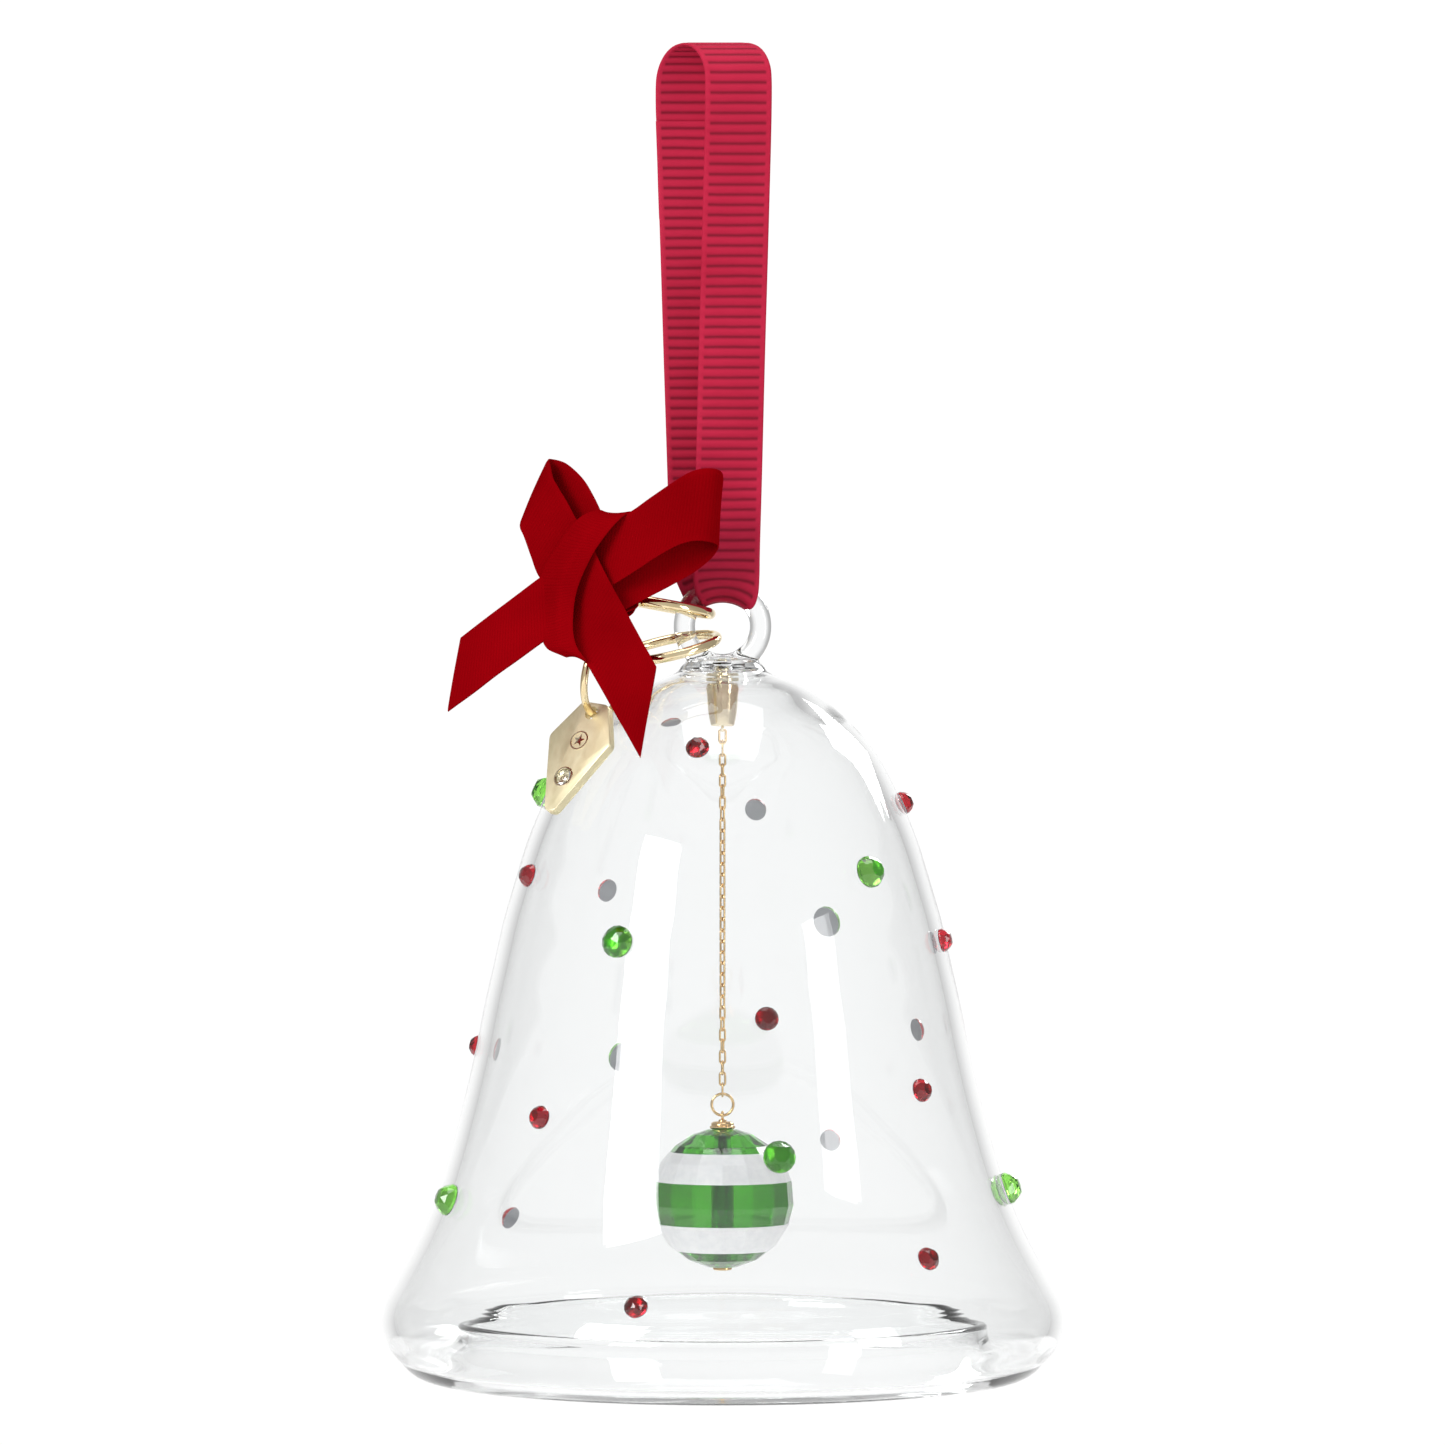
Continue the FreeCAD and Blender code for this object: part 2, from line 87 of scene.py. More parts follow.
# ---------------------------------------------------------------- meshes
def piece(name, verts, faces, material, body, slot, replaces=(), angle=35.0, attributes=None, flat=False):
    me = bpy.data.meshes.new(name)
    me.from_pydata([tuple(v) for v in verts], [], faces)
    me.validate()
    bm = bmesh.new()
    bm.from_mesh(me)
    bmesh.ops.recalc_face_normals(bm, faces=bm.faces)
    bm.to_mesh(me)
    bm.free()
    for key, values in (attributes or {}).items():
        layer = me.attributes.new(key, "FLOAT", "POINT")
        layer.data.foreach_set("value", values)
    if not flat:
        me.shade_smooth()
        me.set_sharp_from_angle(angle=math.radians(angle))
    me.materials.append(material)
    ob = bpy.data.objects.new(name, me)
    scene.collection.objects.link(ob)
    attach(ob, body)
    if replaces:
        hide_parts(*replaces)
    return ob


def join(parts):
    """Several (verts, faces) as one."""
    verts, faces = [], []
    for v, f in parts:
        base = len(verts)
        verts += v
        faces += [tuple(i + base for i in face) for face in f]
    return verts, faces


def lathe(profile, count, closed=False):
    """Turned about the bell's axis. profile is (radius, height); a radius of 0 is a pole."""
    verts, faces, rows = [], [], []
    for r, z in profile:
        if r <= 1e-9:
            rows.append([len(verts)])
            verts.append(P(0, 0, z))
        else:
            rows.append(list(range(len(verts), len(verts) + count)))
            for i in range(count):
                a = 2 * math.pi * i / count
                verts.append(P(r * math.cos(a), r * math.sin(a), z))
    pairs = list(zip(rows, rows[1:]))
    if closed:
        pairs.append((rows[-1], rows[0]))
    for a, b in pairs:
        for i in range(count):
            j = (i + 1) % count
            if len(a) == 1 and len(b) == 1:
                continue
            if len(a) == 1:
                faces.append((a[0], b[j], b[i]))
            elif len(b) == 1:
                faces.append((a[i], a[j], b[0]))
            else:
                faces.append((a[i], a[j], b[j], b[i]))
    return verts, faces


def tube(path, radius, sides, closed=True, hint=Vector((0, 0, 1)), radius_at=None):
    """A round wire along points given in metres."""
    verts, faces = [], []
    n = len(path)
    side = None
    for i in range(n):
        a, b = (path[i - 1], path[(i + 1) % n]) if closed else (path[max(i - 1, 0)], path[min(i + 1, n - 1)])
        t = (b - a).normalized()
        if side is None:
            side = t.cross(hint)
            if side.length < 1e-6:
                side = t.cross(Vector((1, 0, 0)))
        side = (side - t * side.dot(t)).normalized()
        up = t.cross(side)
        r = radius_at(i) if radius_at else radius
        for k in range(sides):
            q = 2 * math.pi * k / sides
            verts.append(path[i] + (side * math.cos(q) + up * math.sin(q)) * r)
    for i in range(n if closed else n - 1):
        j = (i + 1) % n
        for k in range(sides):
            m = (k + 1) % sides
            faces.append((i * sides + k, i * sides + m, j * sides + m, j * sides + k))
    if not closed:
        faces.append(tuple(range(sides)))
        faces.append(tuple((n - 1) * sides + k for k in range(sides)))
    return verts, faces


def ring_path(centre, normal, radius, count, start=None):
    n = Vector(normal).normalized()
    u = Vector(start) if start else n.orthogonal()
    u = (u - n * u.dot(n)).normalized()
    v = n.cross(u)
    return [P(*centre) + (u * math.cos(2 * math.pi * i / count) + v * math.sin(2 * math.pi * i / count)) * radius * MM
            for i in range(count)]


def ribbon(rows, thick, steps_along, steps_across, ribs=None, belly=0.0, ends=(False, False)):
    """A closed strip of ribbon through rows of points across it, in millimetres.
    Returns verts, faces and the distance along and across at each vertex."""
    width = len(rows[0])
    lines = [catmull([r[k] for r in rows], steps_along) for k in range(width)]
    grid = []
    for i in range(len(lines[0])):
        across = catmull([lines[k][i] for k in range(width)], max(1, steps_across // (width - 1)))
        grid.append(across)
    nu, nv = len(grid), len(grid[0])
    along = [[0.0] * nv for _ in range(nu)]
    for j in range(nv):
        for i in range(1, nu):
            along[i][j] = along[i - 1][j] + (grid[i][j] - grid[i - 1][j]).length
    mean = [sum(a) / nv for a in along]
    normals = []
    for i in range(nu):
        row = []
        for j in range(nv):
            du = grid[min(i + 1, nu - 1)][j] - grid[max(i - 1, 0)][j]
            dv = grid[i][min(j + 1, nv - 1)] - grid[i][max(j - 1, 0)]
            row.append(du.cross(dv).normalized())
        normals.append(row)
    verts, faces, att_along, att_across = [], [], [], []
    for side in (1, -1):
        for i in range(nu):
            total = sum((grid[i][j + 1] - grid[i][j]).length for j in range(nv - 1))
            done = 0.0
            for j in range(nv):
                if j:
                    done += (grid[i][j] - grid[i][j - 1]).length
                t = done / total if total else 0.0
                edge = min(done, total - done)
                half = thick / 2 * (0.55 + 0.45 * smooth(0.0, 0.22, edge))
                lift = belly * math.sin(math.pi * t)
                if ribs:
                    lift += side * ribs(mean[i], t, edge)
                p = grid[i][j] + normals[i][j] * (side * half + lift)
                verts.append(P(p.x, p.y, p.z))
                att_along.append(mean[i])
                att_across.append(edge)
    def v(side, i, j):
        return side * nu * nv + i * nv + j
    for i in range(nu - 1):
        for j in range(nv - 1):
            faces.append((v(0, i, j), v(0, i + 1, j), v(0, i + 1, j + 1), v(0, i, j + 1)))
            faces.append((v(1, i, j), v(1, i, j + 1), v(1, i + 1, j + 1), v(1, i + 1, j)))
    for i in range(nu - 1):
        for j in (0, nv - 1):
            faces.append((v(0, i, j), v(1, i, j), v(1, i + 1, j), v(0, i + 1, j)))
    for j in range(nv - 1):
        for i in (0, nu - 1):
            faces.append((v(0, i, j), v(0, i, j + 1), v(1, i, j + 1), v(1, i, j)))
    return verts, faces, {"along": att_along, "edge": att_across}


# ---------------------------------------------------------------- materials
def node_material(name):
    m = bpy.data.materials.new(name)
    m.use_nodes = True
    nt = m.node_tree
    shader = next(n for n in nt.nodes if n.type == "BSDF_PRINCIPLED")
    return m, nt, shader


def add(nt, kind, **values):
    n = nt.nodes.new(kind)
    for key, value in values.items():
        if hasattr(n, key):
            setattr(n, key, value)
        else:
            n.inputs[key].default_value = value
    return n


def noise_node(nt, scale, detail=3.0, rough=0.5, stretch=None):
    coord = nt.nodes.new("ShaderNodeTexCoord")
    source = coord.outputs["Object"]
    if stretch:
        mapping = nt.nodes.new("ShaderNodeMapping")
        mapping.inputs["Scale"].default_value = stretch
        nt.links.new(source, mapping.inputs["Vector"])
        source = mapping.outputs["Vector"]
    n = nt.nodes.new("ShaderNodeTexNoise")
    n.inputs["Scale"].default_value = scale
    n.inputs["Detail"].default_value = detail
    n.inputs["Roughness"].default_value = rough
    nt.links.new(source, n.inputs["Vector"])
    return n


def ramp(nt, source, stops):
    r = nt.nodes.new("ShaderNodeValToRGB")
    while len(r.color_ramp.elements) < len(stops):
        r.color_ramp.elements.new(0.5)
    for e, (pos, col) in zip(r.color_ramp.elements, stops):
        e.position = pos
        e.color = (*col, 1.0) if len(col) == 3 else col
    nt.links.new(source, r.inputs["Fac"])
    return r


def bump(nt, shader, source, strength, distance):
    b = nt.nodes.new("ShaderNodeBump")
    b.inputs["Strength"].default_value = strength
    b.inputs["Distance"].default_value = distance
    nt.links.new(source, b.inputs["Height"])
    nt.links.new(b.outputs["Normal"], shader.inputs["Normal"])
    return b


def math_node(nt, op, a, b=None):
    n = nt.nodes.new("ShaderNodeMath")
    n.operation = op
    for k, value in enumerate((a, b)):
        if value is None:
            continue
        if hasattr(value, "is_linked") or hasattr(value, "links"):
            nt.links.new(value, n.inputs[k])
        else:
            n.inputs[k].default_value = value
    return n.outputs[0]


def glass_material():
    m, nt, s = node_material("clear_glass")
    s.inputs["Transmission Weight"].default_value = 1.0
    s.inputs["IOR"].default_value = 1.47
    s.inputs["Roughness"].default_value = 0.0
    n = noise_node(nt, 28.0, 1.0, 0.4)
    r = ramp(nt, n.outputs["Fac"], [(0.3, (0.955, 0.962, 0.962)), (0.7, (0.966, 0.972, 0.972))])
    nt.links.new(r.outputs["Color"], s.inputs["Base Color"])
    bump(nt, s, n.outputs["Fac"], 0.10, 0.0006)
    return m


def crystal_material(name, low, high, scale, transmission=1.0):
    m, nt, s = node_material(name)
    s.inputs["Transmission Weight"].default_value = transmission
    s.inputs["IOR"].default_value = 1.56
    s.inputs["Roughness"].default_value = 0.015
    s.inputs["Coat Weight"].default_value = 0.3
    s.inputs["Coat Roughness"].default_value = 0.02
    n = noise_node(nt, scale, 2.0)
    r = ramp(nt, n.outputs["Fac"], [(0.35, low), (0.65, high)])
    nt.links.new(r.outputs["Color"], s.inputs["Base Color"])
    bump(nt, s, n.outputs["Fac"], 0.05, 0.0001)
    return m


def metal_material(name, low, high, roughness, scale, stretch=None, strength=0.08):
    m, nt, s = node_material(name)
    s.inputs["Metallic"].default_value = 1.0
    n = noise_node(nt, scale, 4.0, 0.6, stretch)
    r = ramp(nt, n.outputs["Fac"], [(0.3, low), (0.7, high)])
    nt.links.new(r.outputs["Color"], s.inputs["Base Color"])
    rr = nt.nodes.new("ShaderNodeMapRange")
    rr.inputs["To Min"].default_value = roughness * 0.75
    rr.inputs["To Max"].default_value = roughness * 1.35
    nt.links.new(n.outputs["Fac"], rr.inputs["Value"])
    nt.links.new(rr.outputs["Result"], s.inputs["Roughness"])
    bump(nt, s, n.outputs["Fac"], strength, 0.00005)
    return m


def ribbon_material(name, groove_shade_colour, body, light, pitch, depth, sheen, groove_shade_strength=0.55):
    """Grosgrain: a rib every `pitch` millimetres along the ribbon, plain woven edges, fine threads across. The grooves
    between the ribs get painted shade: a darker colour mixed in away from the edges.
    """
    m, nt, s = node_material(name)
    s.inputs["Roughness"].default_value = 0.62
    s.inputs["Specular IOR Level"].default_value = 0.12 if sheen else 0.0
    s.inputs["Sheen Weight"].default_value = sheen
    s.inputs["Sheen Roughness"].default_value = 0.45
    s.inputs["Sheen Tint"].default_value = (light[0], light[1], light[2], 1.0)
    along = nt.nodes.new("ShaderNodeAttribute")
    along.attribute_name = "along"
    edge = nt.nodes.new("ShaderNodeAttribute")
    edge.attribute_name = "edge"
    wobble = noise_node(nt, 260.0, 2.0)
    shifted = math_node(nt, "ADD", along.outputs["Fac"], math_node(nt, "MULTIPLY", wobble.outputs["Fac"], 0.12 * pitch))
    wave = math_node(nt, "SINE", math_node(nt, "MULTIPLY", shifted, 2 * math.pi / pitch))
    rib = math_node(nt, "MULTIPLY", math_node(nt, "ADD", wave, 1.0), 0.5)
    inner = nt.nodes.new("ShaderNodeMapRange")
    inner.interpolation_type = "SMOOTHSTEP"
    inner.inputs["From Min"].default_value = 0.35
    inner.inputs["From Max"].default_value = 0.75
    nt.links.new(edge.outputs["Fac"], inner.inputs["Value"])
    # painted shade: the grooves between ribs are darkened, strongest where the rib is lowest, kept off the plain edges
    groove_shade_mask = math_node(nt, "MULTIPLY", math_node(nt, "SUBTRACT", 1.0, rib), inner.outputs["Result"])
    painted_groove_shade = math_node(nt, "POWER", groove_shade_mask, 3.0)
    threads = noise_node(nt, 2600.0, 2.0, 0.6)
    cloud = noise_node(nt, 90.0, 3.0)
    base = ramp(nt, cloud.outputs["Fac"], [(0.3, body), (0.72, light)])
    # the painted groove shade colour is mixed into the base colour here
    mix = nt.nodes.new("ShaderNodeMix")
    mix.data_type = "RGBA"
    nt.links.new(math_node(nt, "MULTIPLY", painted_groove_shade, groove_shade_strength), mix.inputs["Factor"])
    nt.links.new(base.outputs["Color"], mix.inputs["A"])
    mix.inputs["B"].default_value = (*groove_shade_colour, 1.0)
    nt.links.new(mix.outputs["Result"], s.inputs["Base Color"])
    height = math_node(nt, "ADD", math_node(nt, "MULTIPLY", rib, depth), math_node(nt, "MULTIPLY", threads.outputs["Fac"], 0.25))
    bump(nt, s, height, 0.35, 0.00009)
    return m


def srgb(r, g, b):
    return tuple((c / 255 / 12.92) if c / 255 <= 0.04045 else ((c / 255 + 0.055) / 1.055) ** 2.4 for c in (r, g, b))


GLASS = glass_material()
RED = crystal_material("red_crystal", (0.50, 0.004, 0.012), (0.62, 0.012, 0.03), 300.0)
GREEN = crystal_material("green_crystal", (0.22, 0.72, 0.07), (0.32, 0.85, 0.12), 300.0)
FOIL = metal_material("silver_foil", srgb(168, 169, 174), srgb(182, 183, 188), 0.42, 400.0)
GOLD_PALE = metal_material("pale_gold", srgb(226, 214, 180), srgb(240, 228, 200), 0.16, 300.0)
GOLD_CHAIN = metal_material("chain_gold", srgb(218, 184, 132), srgb(234, 206, 160), 0.14, 500.0)
GOLD_RING = metal_material("ring_gold", srgb(232, 208, 160), srgb(246, 230, 192), 0.09, 200.0)
TAG_GOLD = metal_material("tag_gold", srgb(240, 227, 186), srgb(248, 238, 204), 0.46, 700.0, (1.0, 1.0, 0.06), 0.14)
BALL_GREEN = crystal_material("drop_crystal", (0.035, 0.33, 0.006), (0.06, 0.42, 0.012), 120.0)
CLEAR_GEM = crystal_material("tag_crystal", (0.93, 0.95, 0.97), (0.99, 0.99, 1.0), 300.0)
# the first colour of each ribbon is the painted shade for its rib grooves, and the last number sets how strong it is
BOW_RED = ribbon_material("bow_ribbon", srgb(74, 0, 2), srgb(122, 1, 7), srgb(136, 2, 9), 0.42, 0.35, 0.0, 0.16)
HANG_RED = ribbon_material("hanging_ribbon", srgb(96, 8, 28), srgb(168, 24, 54), srgb(182, 32, 64), 1.22, 1.0, 0.10, 0.78)


def enamel():
    m, nt, s = node_material("white_enamel")
    s.inputs["Roughness"].default_value = 0.34
    s.inputs["Coat Weight"].default_value = 0.25
    n = noise_node(nt, 900.0, 4.0, 0.65)
    r = ramp(nt, n.outputs["Fac"], [(0.35, (0.86, 0.87, 0.885)), (0.6, (0.94, 0.945, 0.95))])
    nt.links.new(r.outputs["Color"], s.inputs["Base Color"])
    bump(nt, s, n.outputs["Fac"], 0.12, 0.00005)
    return m


WHITE = enamel()

# ---------------------------------------------------------------- glass bell
OUTSIDE = [
    (5.02, 85.4), (5.4, 84.85), (6.7, 84.3), (8.6, 83.6), (10.1, 82.9), (12.4, 81.4),
    (15.1, 79.0), (17.3, 76.6), (19.0, 74.2), (21.5, 69.3), (23.5, 64.5), (25.0, 59.7),
    (26.4, 54.9), (27.5, 50.0), (28.6, 45.2), (29.55, 40.4), (30.6, 35.6), (31.8, 30.8),
    (33.15, 25.9), (34.75, 21.1), (36.9, 16.3), (39.5, 11.5), (40.8, 9.0), (41.2, 6.6),
    (40.6, 4.2), (38.7, 1.75), (37.4, 0.55), (35.9, 0.0), (34.0, 0.25), (32.0, 1.6), (30.8, 3.8),
    (30.45, 6.2),
]
WALL = 1.7


def profile_line(points, steps):
    return [(p.x, p.y) for p in catmull([(r, z, 0) for r, z in points], steps)]


def inside_of(outside):
    result = []
    for i in range(1, len(outside) - 1):
        (r0, z0), (r1, z1), (r2, z2) = outside[i - 1], outside[i], outside[i + 1]
        tr, tz = r2 - r0, z2 - z0
        size = math.hypot(tr, tz)
        result.append((r1 + tz / size * WALL, z1 - tr / size * WALL))
    return result


inner = [p for p in inside_of(OUTSIDE) if p[1] < 79.5]
inner = [p for p in inner if not (p[0] < 34.5 and p[1] < 8)]
inner = [p for p in inner if not (p[1] < 3.0 and p[0] < 38.0)]
roll = [(37.3, 2.35), (35.9, 1.75), (34.3, 2.0), (32.95, 3.0), (32.1, 4.4), (31.85, 6.2)]
# a solid nub holds the anchor; round it the crown is no thicker than the wall
crown = [(1.6, 82.97), (2.25, 82.97), (2.62, 83.3), (2.85, 83.95), (3.25, 84.2), (3.7, 83.95), (4.4, 83.35), (5.9, 82.72), (7.7, 82.0), (9.6, 80.95)]
outer_line = profile_line([(0.0, 86.6), (1.4, 86.58), (2.6, 86.5), (4.3, 86.1)] + OUTSIDE, 5)
outer_line[0] = (0.0, 86.6)
inner_line = profile_line(crown + inner + roll, 5)
lip = [(31.15 - 0.70 * math.cos(math.pi * i / 8), 6.2 + 0.75 * math.sin(math.pi * i / 8)) for i in range(1, 8)]
# the socket for the anchor's stem stands up from the crown
socket = [(0.0, 84.5), (0.83, 84.5), (0.83, 83.15), (0.95, 83.0)]
bell_profile = outer_line + lip + inner_line[::-1] + socket[::-1]
shell_v, shell_f = lathe(bell_profile, 192)
eye_v, eye_f = tube(ring_path((0, 0, 90.3), (0, 1, 0), 4.6, 112, (0, 0, 1)), 1.3 * MM, 40, hint=Vector((0, 1, 0)))


def plain(name, verts, faces):
    me = bpy.data.meshes.new(name)
    me.from_pydata([tuple(v) for v in verts], [], faces)
    bm = bmesh.new()
    bm.from_mesh(me)
    bmesh.ops.recalc_face_normals(bm, faces=bm.faces)
    bm.to_mesh(me)
    bm.free()
    ob = bpy.data.objects.new(name, me)
    scene.collection.objects.link(ob)
    return ob


def cut(ob, other, operation="DIFFERENCE"):
    mod = ob.modifiers.new("cut", "BOOLEAN")
    mod.operation = operation
    mod.solver = "EXACT"
    mod.object = other
    apply(ob)
    bpy.data.objects.remove(other)


def apply(ob):
    dg = bpy.context.evaluated_depsgraph_get()
    me = bpy.data.meshes.new_from_object(ob.evaluated_get(dg))
    ob.modifiers.clear()
    ob.data = me


bell = plain("bell_glass", shell_v, shell_f)
cut(bell, plain("eye_tool", eye_v, eye_f), "UNION")
# the eye was drawn out of the crown while hot, so their meeting line is a soft fillet
bm = bmesh.new()
bm.from_mesh(bell.data)
eye_centre = P(0, 0, 90.3)
outline = {}
for v in bm.verts:
    z = (v.co.z - RIM) / MM
    r = math.hypot(v.co.x, v.co.y) / MM
    if z > 84.6 and r < 5.2:
        ring = abs(math.hypot(math.hypot(v.co.x, v.co.z - eye_centre.z) / MM - 4.6, v.co.y / MM) - 1.3)
        dome = abs(z - (86.6 - 0.045 * r * r))
        if z < 88.4 and ring < 0.9 and dome < 0.9:
            outline[v] = 1
near = list(outline)
bmesh.ops.remove_doubles(bm, verts=bm.verts, dist=0.00001)
near = [v for v in near if v.is_valid]
for _ in range(14):
    bmesh.ops.smooth_vert(bm, verts=near, factor=0.5, use_axis_x=True, use_axis_y=True, use_axis_z=True)
bm.to_mesh(bell.data)
bm.free()
bell.data.shade_smooth()
bell.data.set_sharp_from_angle(angle=math.radians(75))
bell.data.materials.clear()
bell.data.materials.append(GLASS)
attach(bell, "bell")
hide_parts("glass_bell")

# ---------------------------------------------------------------- stones on their foil
foil_mesh = frame["nodes"]["stone_foils"].data
links = {}
for e in foil_mesh.edges:
    a, b = e.vertices
    links.setdefault(a, []).append(b)
    links.setdefault(b, []).append(a)
# corners that share a place belong to one disc even where the mesh is split there
place_of = {}
for v in foil_mesh.vertices:
    place_of.setdefault(tuple(round(c, 7) for c in v.co), []).append(v.index)
for same in place_of.values():
    for a, b in zip(same, same[1:]):
        links.setdefault(a, []).append(b)
        links.setdefault(b, []).append(a)
seen, discs = set(), []
for start in range(len(foil_mesh.vertices)):
    if start in seen:
        continue
    stack, group = [start], []
    seen.add(start)
    while stack:
        i = stack.pop()
        group.append(i)
        for j in links.get(i, ()):
            if j not in seen:
                seen.add(j)
                stack.append(j)
    discs.append([foil_mesh.vertices[i].co.copy() for i in group])

reds, greens, foil_parts = [], [], []
for k, points in enumerate(discs):
    cloud = np.array([tuple(p) for p in points])
    lo, hi = cloud.min(0), cloud.max(0)
    c = Vector((lo + hi) / 2)
    spread = np.linalg.eigh(np.cov((cloud - np.array(c)).T))
    n = Vector(spread[1][:, 0]).normalized()
    out = Vector((c.x, c.y, 0.0)) + Vector((0, 0, 1)) * (0.02 if c.z - RIM > 0.073 else 0.0)
    if n.dot(out) < 0:
        n = -n
    radius = max((p - c).length for p in points)
    big = radius > 0.0016
    stone_r = 0.00192 if big else 0.0014
    stone_h = 0.00175 if big else 0.00125
    u = n.orthogonal().normalized()
    w = n.cross(u)
    rng = random.Random(k + 7)
    turn = rng.uniform(0, math.pi)
    spin = Matrix.Rotation(turn, 3, n)
    u, w = spin @ u, spin @ w
    seat = c + n * 0.00005

    def at(r, deg, h, base=seat):
        q = math.radians(deg)
        return base + (u * math.cos(q) + w * math.sin(q)) * r * stone_r + n * h * stone_h

    v, f = [], []
    v += [at(0.97, 22.5 * i, 0.0) for i in range(16)]
    v += [at(1.0, 22.5 * i, 0.05) for i in range(16)]
    v += [at(1.0, 22.5 * i, 0.20) for i in range(16)]
    v += [at(0.80, 45.0 * i, 0.60) for i in range(8)]
    v += [at(0.50, 45.0 * i + 22.5, 0.93) for i in range(8)]
    v += [at(0.0, 0, 1.0)]
    f.append(tuple(range(15, -1, -1)))
    for ring in (0, 16):
        for i in range(16):
            j = (i + 1) % 16
            f.append((ring + i, ring + j, ring + 16 + j, ring + 16 + i))
    for i in range(8):
        g, m, t = 32 + 2 * i, 48 + i, 56 + i
        g_next, g_last = 32 + (2 * i + 1) % 16, 32 + (2 * i - 1) % 16
        f.append((g, g_next, m))
        f.append((g_last, g, m))
        f.append((g_next, 48 + (i + 1) % 8, m))
        f.append((m, 48 + (i + 1) % 8, t))
        f.append((m, t, 56 + (i - 1) % 8))
        f.append((t, 56 + (i + 1) % 8, 64))
    (greens if big else reds).append((v, f))
    fv, ff = [], []
    rows = ((0.90, -0.040), (0.985, -0.034), (0.985, 0.034), (0.90, 0.040))
    for rr, hh in rows:
        for i in range(40):
            q = 2 * math.pi * i / 40
            fv.append(c + (u * math.cos(q) + w * math.sin(q)) * rr * stone_r + n * hh * MM)
    for s in range(3):
        for i in range(40):
            j = (i + 1) % 40
            ff.append((s * 40 + i, s * 40 + j, (s + 1) * 40 + j, (s + 1) * 40 + i))
    ff.append(tuple(range(39, -1, -1)))
    ff.append(tuple(range(120, 160)))
    foil_parts.append((fv, ff))

piece("red_stones_cut", *join(reds), RED, "bell", "red_crystal", ("red_stones",), flat=True)
piece("green_stones_cut", *join(greens), GREEN, "bell", "green_crystal", ("green_stones",), flat=True)
piece("foil_backs", *join(foil_parts), FOIL, "bell", "silver_foil", ("stone_foils",), angle=30)

# ---------------------------------------------------------------- anchor in the crown
anchor = [(0.0, 84.4), (0.72, 84.4), (0.80, 84.3), (0.80, 82.9), (1.1, 82.82), (1.88, 82.78), (2.0, 82.66), (1.97, 82.2),
          (1.93, 82.1), (1.93, 81.9), (1.90, 81.8), (1.44, 79.0), (1.36, 78.8), (1.22, 78.68), (0.0, 78.68)]
parts = [lathe([(r, z) for r, z in anchor], 48),
         tube(ring_path((0, 0, 78.12), (1, 0, 0), 0.46, 40, (0, 0, 1)), 0.17 * MM, 14, hint=Vector((1, 0, 0)))]
piece("anchor_cup", *join(parts), GOLD_PALE, "bell", "pale_gold", ("chain_anchor",), angle=40)


def oval(centre_z, half_len, half_wid, turn, count=14):
    """Middle line of an oval link standing on the bell's axis."""
    pts = []
    straight = half_len - half_wid
    for i in range(count + 1):
        a = math.pi * i / count
        pts.append((half_wid * math.cos(a), straight + half_wid * math.sin(a)))
    for i in range(count + 1):
        a = math.pi + math.pi * i / count
        pts.append((half_wid * math.cos(a), -straight + half_wid * math.sin(a)))
    q = math.radians(turn)
    return [P(x * math.cos(q), x * math.sin(q), centre_z + z) for x, z in pts], Vector((-math.sin(q), math.cos(q), 0))


anchor_wire_z = 78.12 - 0.46
conn_z = anchor_wire_z + 0.17 + 0.16 + 0.02 - 1.0
path, normal = oval(conn_z, 1.0, 0.40, 0.0, 18)
piece("connector_oval", *tube(path, 0.16 * MM, 14, hint=normal), GOLD_CHAIN, "connector", "pale_gold", ("connector_link",), angle=60)

first_top = conn_z - 1.0 + 0.16 + 0.13 + 0.02
last_bottom = 32.5 + 1.3 - 0.17 - 0.13 - 0.02
pitch = (first_top - last_bottom - 2 * 0.13 - 0.02) / 32
half = pitch / 2 + 0.13 + 0.01
upper, lower = [], []
for k in range(32):
    twist = min(45.0, 5.6 * k) if k < 23 else 45.0 + 45.0 * (k - 22) / 9.0
    path, normal = oval(first_top - half - pitch * k, half, 0.33, 90.0 + 90.0 * k + twist, 9)
    (upper if k < 16 else lower).append(tube(path, 0.13 * MM, 10, hint=normal))
piece("chain_upper_links", *join(upper), GOLD_CHAIN, "chain_top", "chain_gold", ("chain_upper",), angle=60)
piece("chain_lower_links", *join(lower), GOLD_CHAIN, "chain_bottom", "chain_gold", ("chain_lower",), angle=60)

# ---------------------------------------------------------------- drop: ring, pin, cap, crystal, bands
piece("drop_ring_wire", *tube(ring_path((0, 0, 32.5), (0, 1, 0), 1.3, 64, (0, 0, 1)), 0.17 * MM, 16, hint=Vector((0, 1, 0))),
      GOLD_CHAIN, "drop_loop", "chain_gold", ("drop_ring",), angle=60)
BALL_Z, BALL_R = 21.1, 8.6
ball_top, ball_low = BALL_Z + 8.42, BALL_Z - 8.42
pin_eye_z = 32.5 - 1.3 + 0.17 + 0.18 + 0.02 - 0.45
head_z = ball_low - 0.02
pin_profile = [(0.0, pin_eye_z - 0.42), (0.42, pin_eye_z - 0.42), (0.5, pin_eye_z - 0.52), (0.5, head_z), (1.08, head_z),
               (1.15, head_z - 0.08), (1.15, head_z - 0.26), (1.05, head_z - 0.37), (0.8, head_z - 0.4), (0.0, head_z - 0.4)]
parts = [lathe(pin_profile, 40), tube(ring_path((0, 0, pin_eye_z), (1, 0, 0), 0.45, 40, (0, 0, 1)), 0.18 * MM, 14, hint=Vector((1, 0, 0)))]
piece("drop_pin_turned", *join(parts), GOLD_CHAIN, "drop_hanger", "chain_gold", ("drop_pin",), angle=40)
